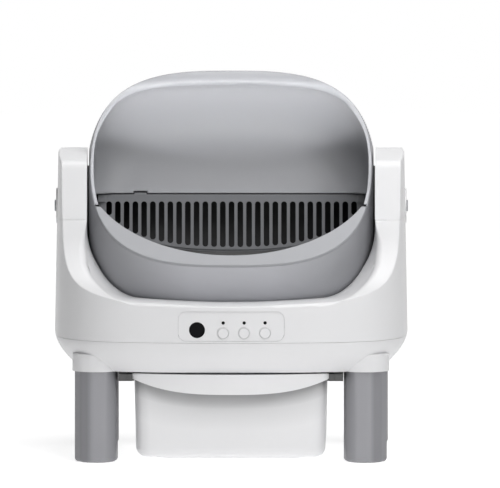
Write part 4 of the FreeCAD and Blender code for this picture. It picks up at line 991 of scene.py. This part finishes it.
def make_floor(glow):
    """A pale floor that keeps the machine's shadow."""
    size = 6.0
    mesh = bpy.data.meshes.new("floor")
    corners = [(-size, -size, 0), (size, -size, 0), (size, size, 0), (-size, size, 0)]
    mesh.from_pydata(corners, [], [(0, 1, 2, 3)])
    floor = add_object("floor", mesh)
    material, tree, shader, coordinates = start_material("pale_floor")
    shader.inputs["Base Color"].default_value = (0.8, 0.8, 0.8, 1.0)
    shader.inputs["Roughness"].default_value = 0.9
    shader.inputs["Specular IOR Level"].default_value = 0.0
    away = tree.nodes.new("ShaderNodeVectorMath")
    away.operation = "LENGTH"
    tree.links.new(coordinates, away.inputs[0])
    seen = ranged(tree, away.outputs["Value"], 0.80, 1.0, FLOOR_FADE)
    add = tree.nodes.new("ShaderNodeAddShader")
    tree.links.new(shader.outputs[0], add.inputs[0])
    tree.links.new(glow_between(tree, "ShaderNodeEmission", glow, seen), add.inputs[1])
    tree.links.new(add.outputs[0], tree.nodes["Material Output"].inputs["Surface"])
    mesh.materials.append(material)


def make_camera(studio):
    """A camera so far away that its view has no perspective."""
    scale = studio.mm_per_pixel * MM
    rise = studio.camera_rise
    turn = studio.camera_turn
    data = bpy.data.cameras.new("camera")
    data.type = "ORTHO"
    data.ortho_scale = PICTURE_SIZE[0] * scale
    camera = add_object("camera", data)
    forward = Vector((-math.sin(turn) * math.cos(rise), math.cos(turn) * math.cos(rise), -math.sin(rise)))
    across = Vector((math.cos(turn), math.sin(turn), 0.0))
    upward = across.cross(forward)
    middle = across * ((PICTURE_SIZE[0] / 2 - studio.middle_column) * scale)
    middle = middle + upward * ((studio.floor_row - PICTURE_SIZE[1] / 2) * scale)
    camera.location = middle - forward * CAMERA_DISTANCE
    camera.rotation_euler = forward.to_track_quat("-Z", "Y").to_euler()
    data.clip_end = 20.0
    bpy.context.scene.camera = camera


# Each lamp's name, the studio's value for its power, its place, its target, and its width and height

MACHINE_MIDDLE = (0.0, 0.0, 0.33)
LAMPS = (
    ("key_lamp", "key", (0.8, -2.0, 1.6), MACHINE_MIDDLE, (1.4, 1.0)),
    ("top_lamp", "top", (0.2, -0.2, 2.0), MACHINE_MIDDLE, (1.2, 1.2)),
    ("fore_lamp", "fore", (0.2, -0.9, 2.0), MACHINE_MIDDLE, (1.2, 1.2)),
    ("side_lamp", "side", (-2.0, -0.8, 0.6), (0.0, 0.0, 0.3), (0.8, 1.2)),
)
HOOD_LAMP = ("hood_lamp", "hood", (0.0, -0.95, 0.01), (0.0, 0.03, 0.55), (0.6, 0.12))
HOOD_LAMP_SPREAD = math.radians(18.0)


def light_hood(studio):
    """A low lamp that shines over the front lip and is flagged off everything but the hood."""
    lamp = add_lamp(studio, *HOOD_LAMP)
    lamp.data.spread = HOOD_LAMP_SPREAD
    lit = bpy.data.collections.new("lit_by_hood_lamp")
    for name in ("hood_skin", "mouth_rim"):
        lit.objects.link(bpy.data.objects[name])
    lamp.light_linking.receiver_collection = lit


class LITTERBOX_OT_stage(Operator):
    """Adds the camera, the lamps and the pale floor"""

    bl_idname = "litter_box.stage"
    bl_label = "Stage"

    def execute(self, context):
        studio = context.scene.litter_box_studio
        context.scene.view_settings.view_transform = "Standard"
        make_camera(studio)
        make_world()
        make_floor(studio.floor_glow)
        for lamp in LAMPS:
            add_lamp(studio, *lamp)
        return {"FINISHED"}


# Dressing of the frame's own pieces


class LITTERBOX_OT_housing(Operator):
    """Finishes the housing, the arms and the lower shell"""

    bl_idname = "litter_box.housing"
    bl_label = "Housing"

    def execute(self, context):
        dress("white", "upper_housing", "arm_cover_left", "arm_cover_right", "lower_shell",
              "pivot_cap_left", "pivot_cap_right")
        dress("drum", "release_button_left", "release_button_right")
        rounded_housing()
        return {"FINISHED"}


class LITTERBOX_OT_controls(Operator):
    """Finishes the front panel and what is behind it"""

    bl_idname = "litter_box.controls"
    bl_label = "Controls"

    def execute(self, context):
        dress("white", "control_panel", "key_left", "key_middle", "key_right")
        dress("lamp", "indicator_lamps")
        dress("black", "sensor_window")
        dress("rubber", "key_mat")
        dress("board", "control_board")
        for name in ("key_left", "key_middle", "key_right"):
            key_ring(name)
        return {"FINISHED"}


class LITTERBOX_OT_rear(Operator):
    """Finishes the rear cover, its screws and the power inlet"""

    bl_idname = "litter_box.rear"
    bl_label = "Rear cover"

    def execute(self, context):
        dress("white", "rear_cover")
        dress("steel", "rear_cover_screws")
        dress("black", "power_inlet")
        return {"FINISHED"}


class LITTERBOX_OT_legs(Operator):
    """Finishes the legs, their pads and the weighing cells"""

    bl_idname = "litter_box.legs"
    bl_label = "Legs"

    def execute(self, context):
        for corner in ("front_left", "front_right", "rear_left", "rear_right"):
            dress("leg", "leg_" + corner)
            dress("rubber", "foot_pad_" + corner)
        dress("steel", "load_cells")
        return {"FINISHED"}


class LITTERBOX_OT_drum(Operator):
    """Finishes the drum's shells, rim, skins and sieve"""

    bl_idname = "litter_box.drum"
    bl_label = "Drum"

    def execute(self, context):
        dress("shell", "bowl_shell", "hood_shell")
        dress("drum", "bowl_lip", "hood_rim")
        dress("inner", "hood_liner")
        drum = context.scene.litter_box_drum
        mouth = Mouth(drum)
        hood_skin(drum, mouth)
        hood_rim(drum, mouth)
        light_hood(context.scene.litter_box_studio)
        dress("deep", "bowl_liner")
        dress("bowl", "hub_left", "hub_right")
        dress("sieve", "sieve_plate", "sieve_latch_left", "sieve_latch_right")
        dress("steel", "hub_screws")
        return {"FINISHED"}


class LITTERBOX_OT_drive(Operator):
    """Finishes the bearings, gears, gearbox and motor"""

    bl_idname = "litter_box.drive"
    bl_label = "Drive"

    def execute(self, context):
        dress("bearing", "bearing_left", "bearing_right")
        dress("bowl", "bearing_block_left", "bearing_block_right", "gearbox")
        dress("acetal", "drive_gear", "drive_pinion")
        dress("steel", "drive_motor")
        return {"FINISHED"}


class LITTERBOX_OT_waste(Operator):
    """Finishes the tray, the chute, the bin and its rails"""

    bl_idname = "litter_box.waste"
    bl_label = "Waste bin"

    def execute(self, context):
        dress("bowl", "drum_tray", "waste_chute", "bag_ring")
        dress("rubber", "chute_seal")
        dress("bin", "waste_bin")
        dress("lip", "bin_front_lip")
        dress("rail", "rail_left", "rail_right", "bin_runner_left", "bin_runner_right")
        return {"FINISHED"}


OPERATORS = (
    LITTERBOX_OT_stage,
    LITTERBOX_OT_housing,
    LITTERBOX_OT_controls,
    LITTERBOX_OT_rear,
    LITTERBOX_OT_legs,
    LITTERBOX_OT_drum,
    LITTERBOX_OT_drive,
    LITTERBOX_OT_waste,
)


class LITTERBOX_PT_panel(Panel):
    """Lists the steps that dress the machine"""

    bl_idname = "LITTERBOX_PT_panel"
    bl_label = "Litter box"
    bl_space_type = "VIEW_3D"
    bl_region_type = "UI"
    bl_category = "Litter box"

    def draw(self, context):
        for step in OPERATORS:
            self.layout.operator(step.bl_idname)


GROUPS = {
    "litter_box_finish": LitterBoxFinish,
    "litter_box_drum": LitterBoxDrum,
    "litter_box_cradle": LitterBoxCradle,
    "litter_box_keys": LitterBoxKeys,
    "litter_box_bin": LitterBoxBin,
    "litter_box_studio": LitterBoxStudio,
}
CLASSES = tuple(GROUPS.values()) + OPERATORS + (LITTERBOX_PT_panel,)


def register():
    """Makes the classes and settings known to Blender."""
    for entry in CLASSES:
        bpy.utils.register_class(entry)
    for name, group in GROUPS.items():
        setattr(bpy.types.Scene, name, PointerProperty(type=group))


def unregister():
    """Takes the classes and settings away again."""
    for name in GROUPS:
        delattr(bpy.types.Scene, name)
    for entry in reversed(CLASSES):
        bpy.utils.unregister_class(entry)


def main():
    """Runs every step in order."""
    register()
    for step in OPERATORS:
        group, name = step.bl_idname.split(".")
        getattr(getattr(bpy.ops, group), name)()


if __name__ == "__main__":
    main()
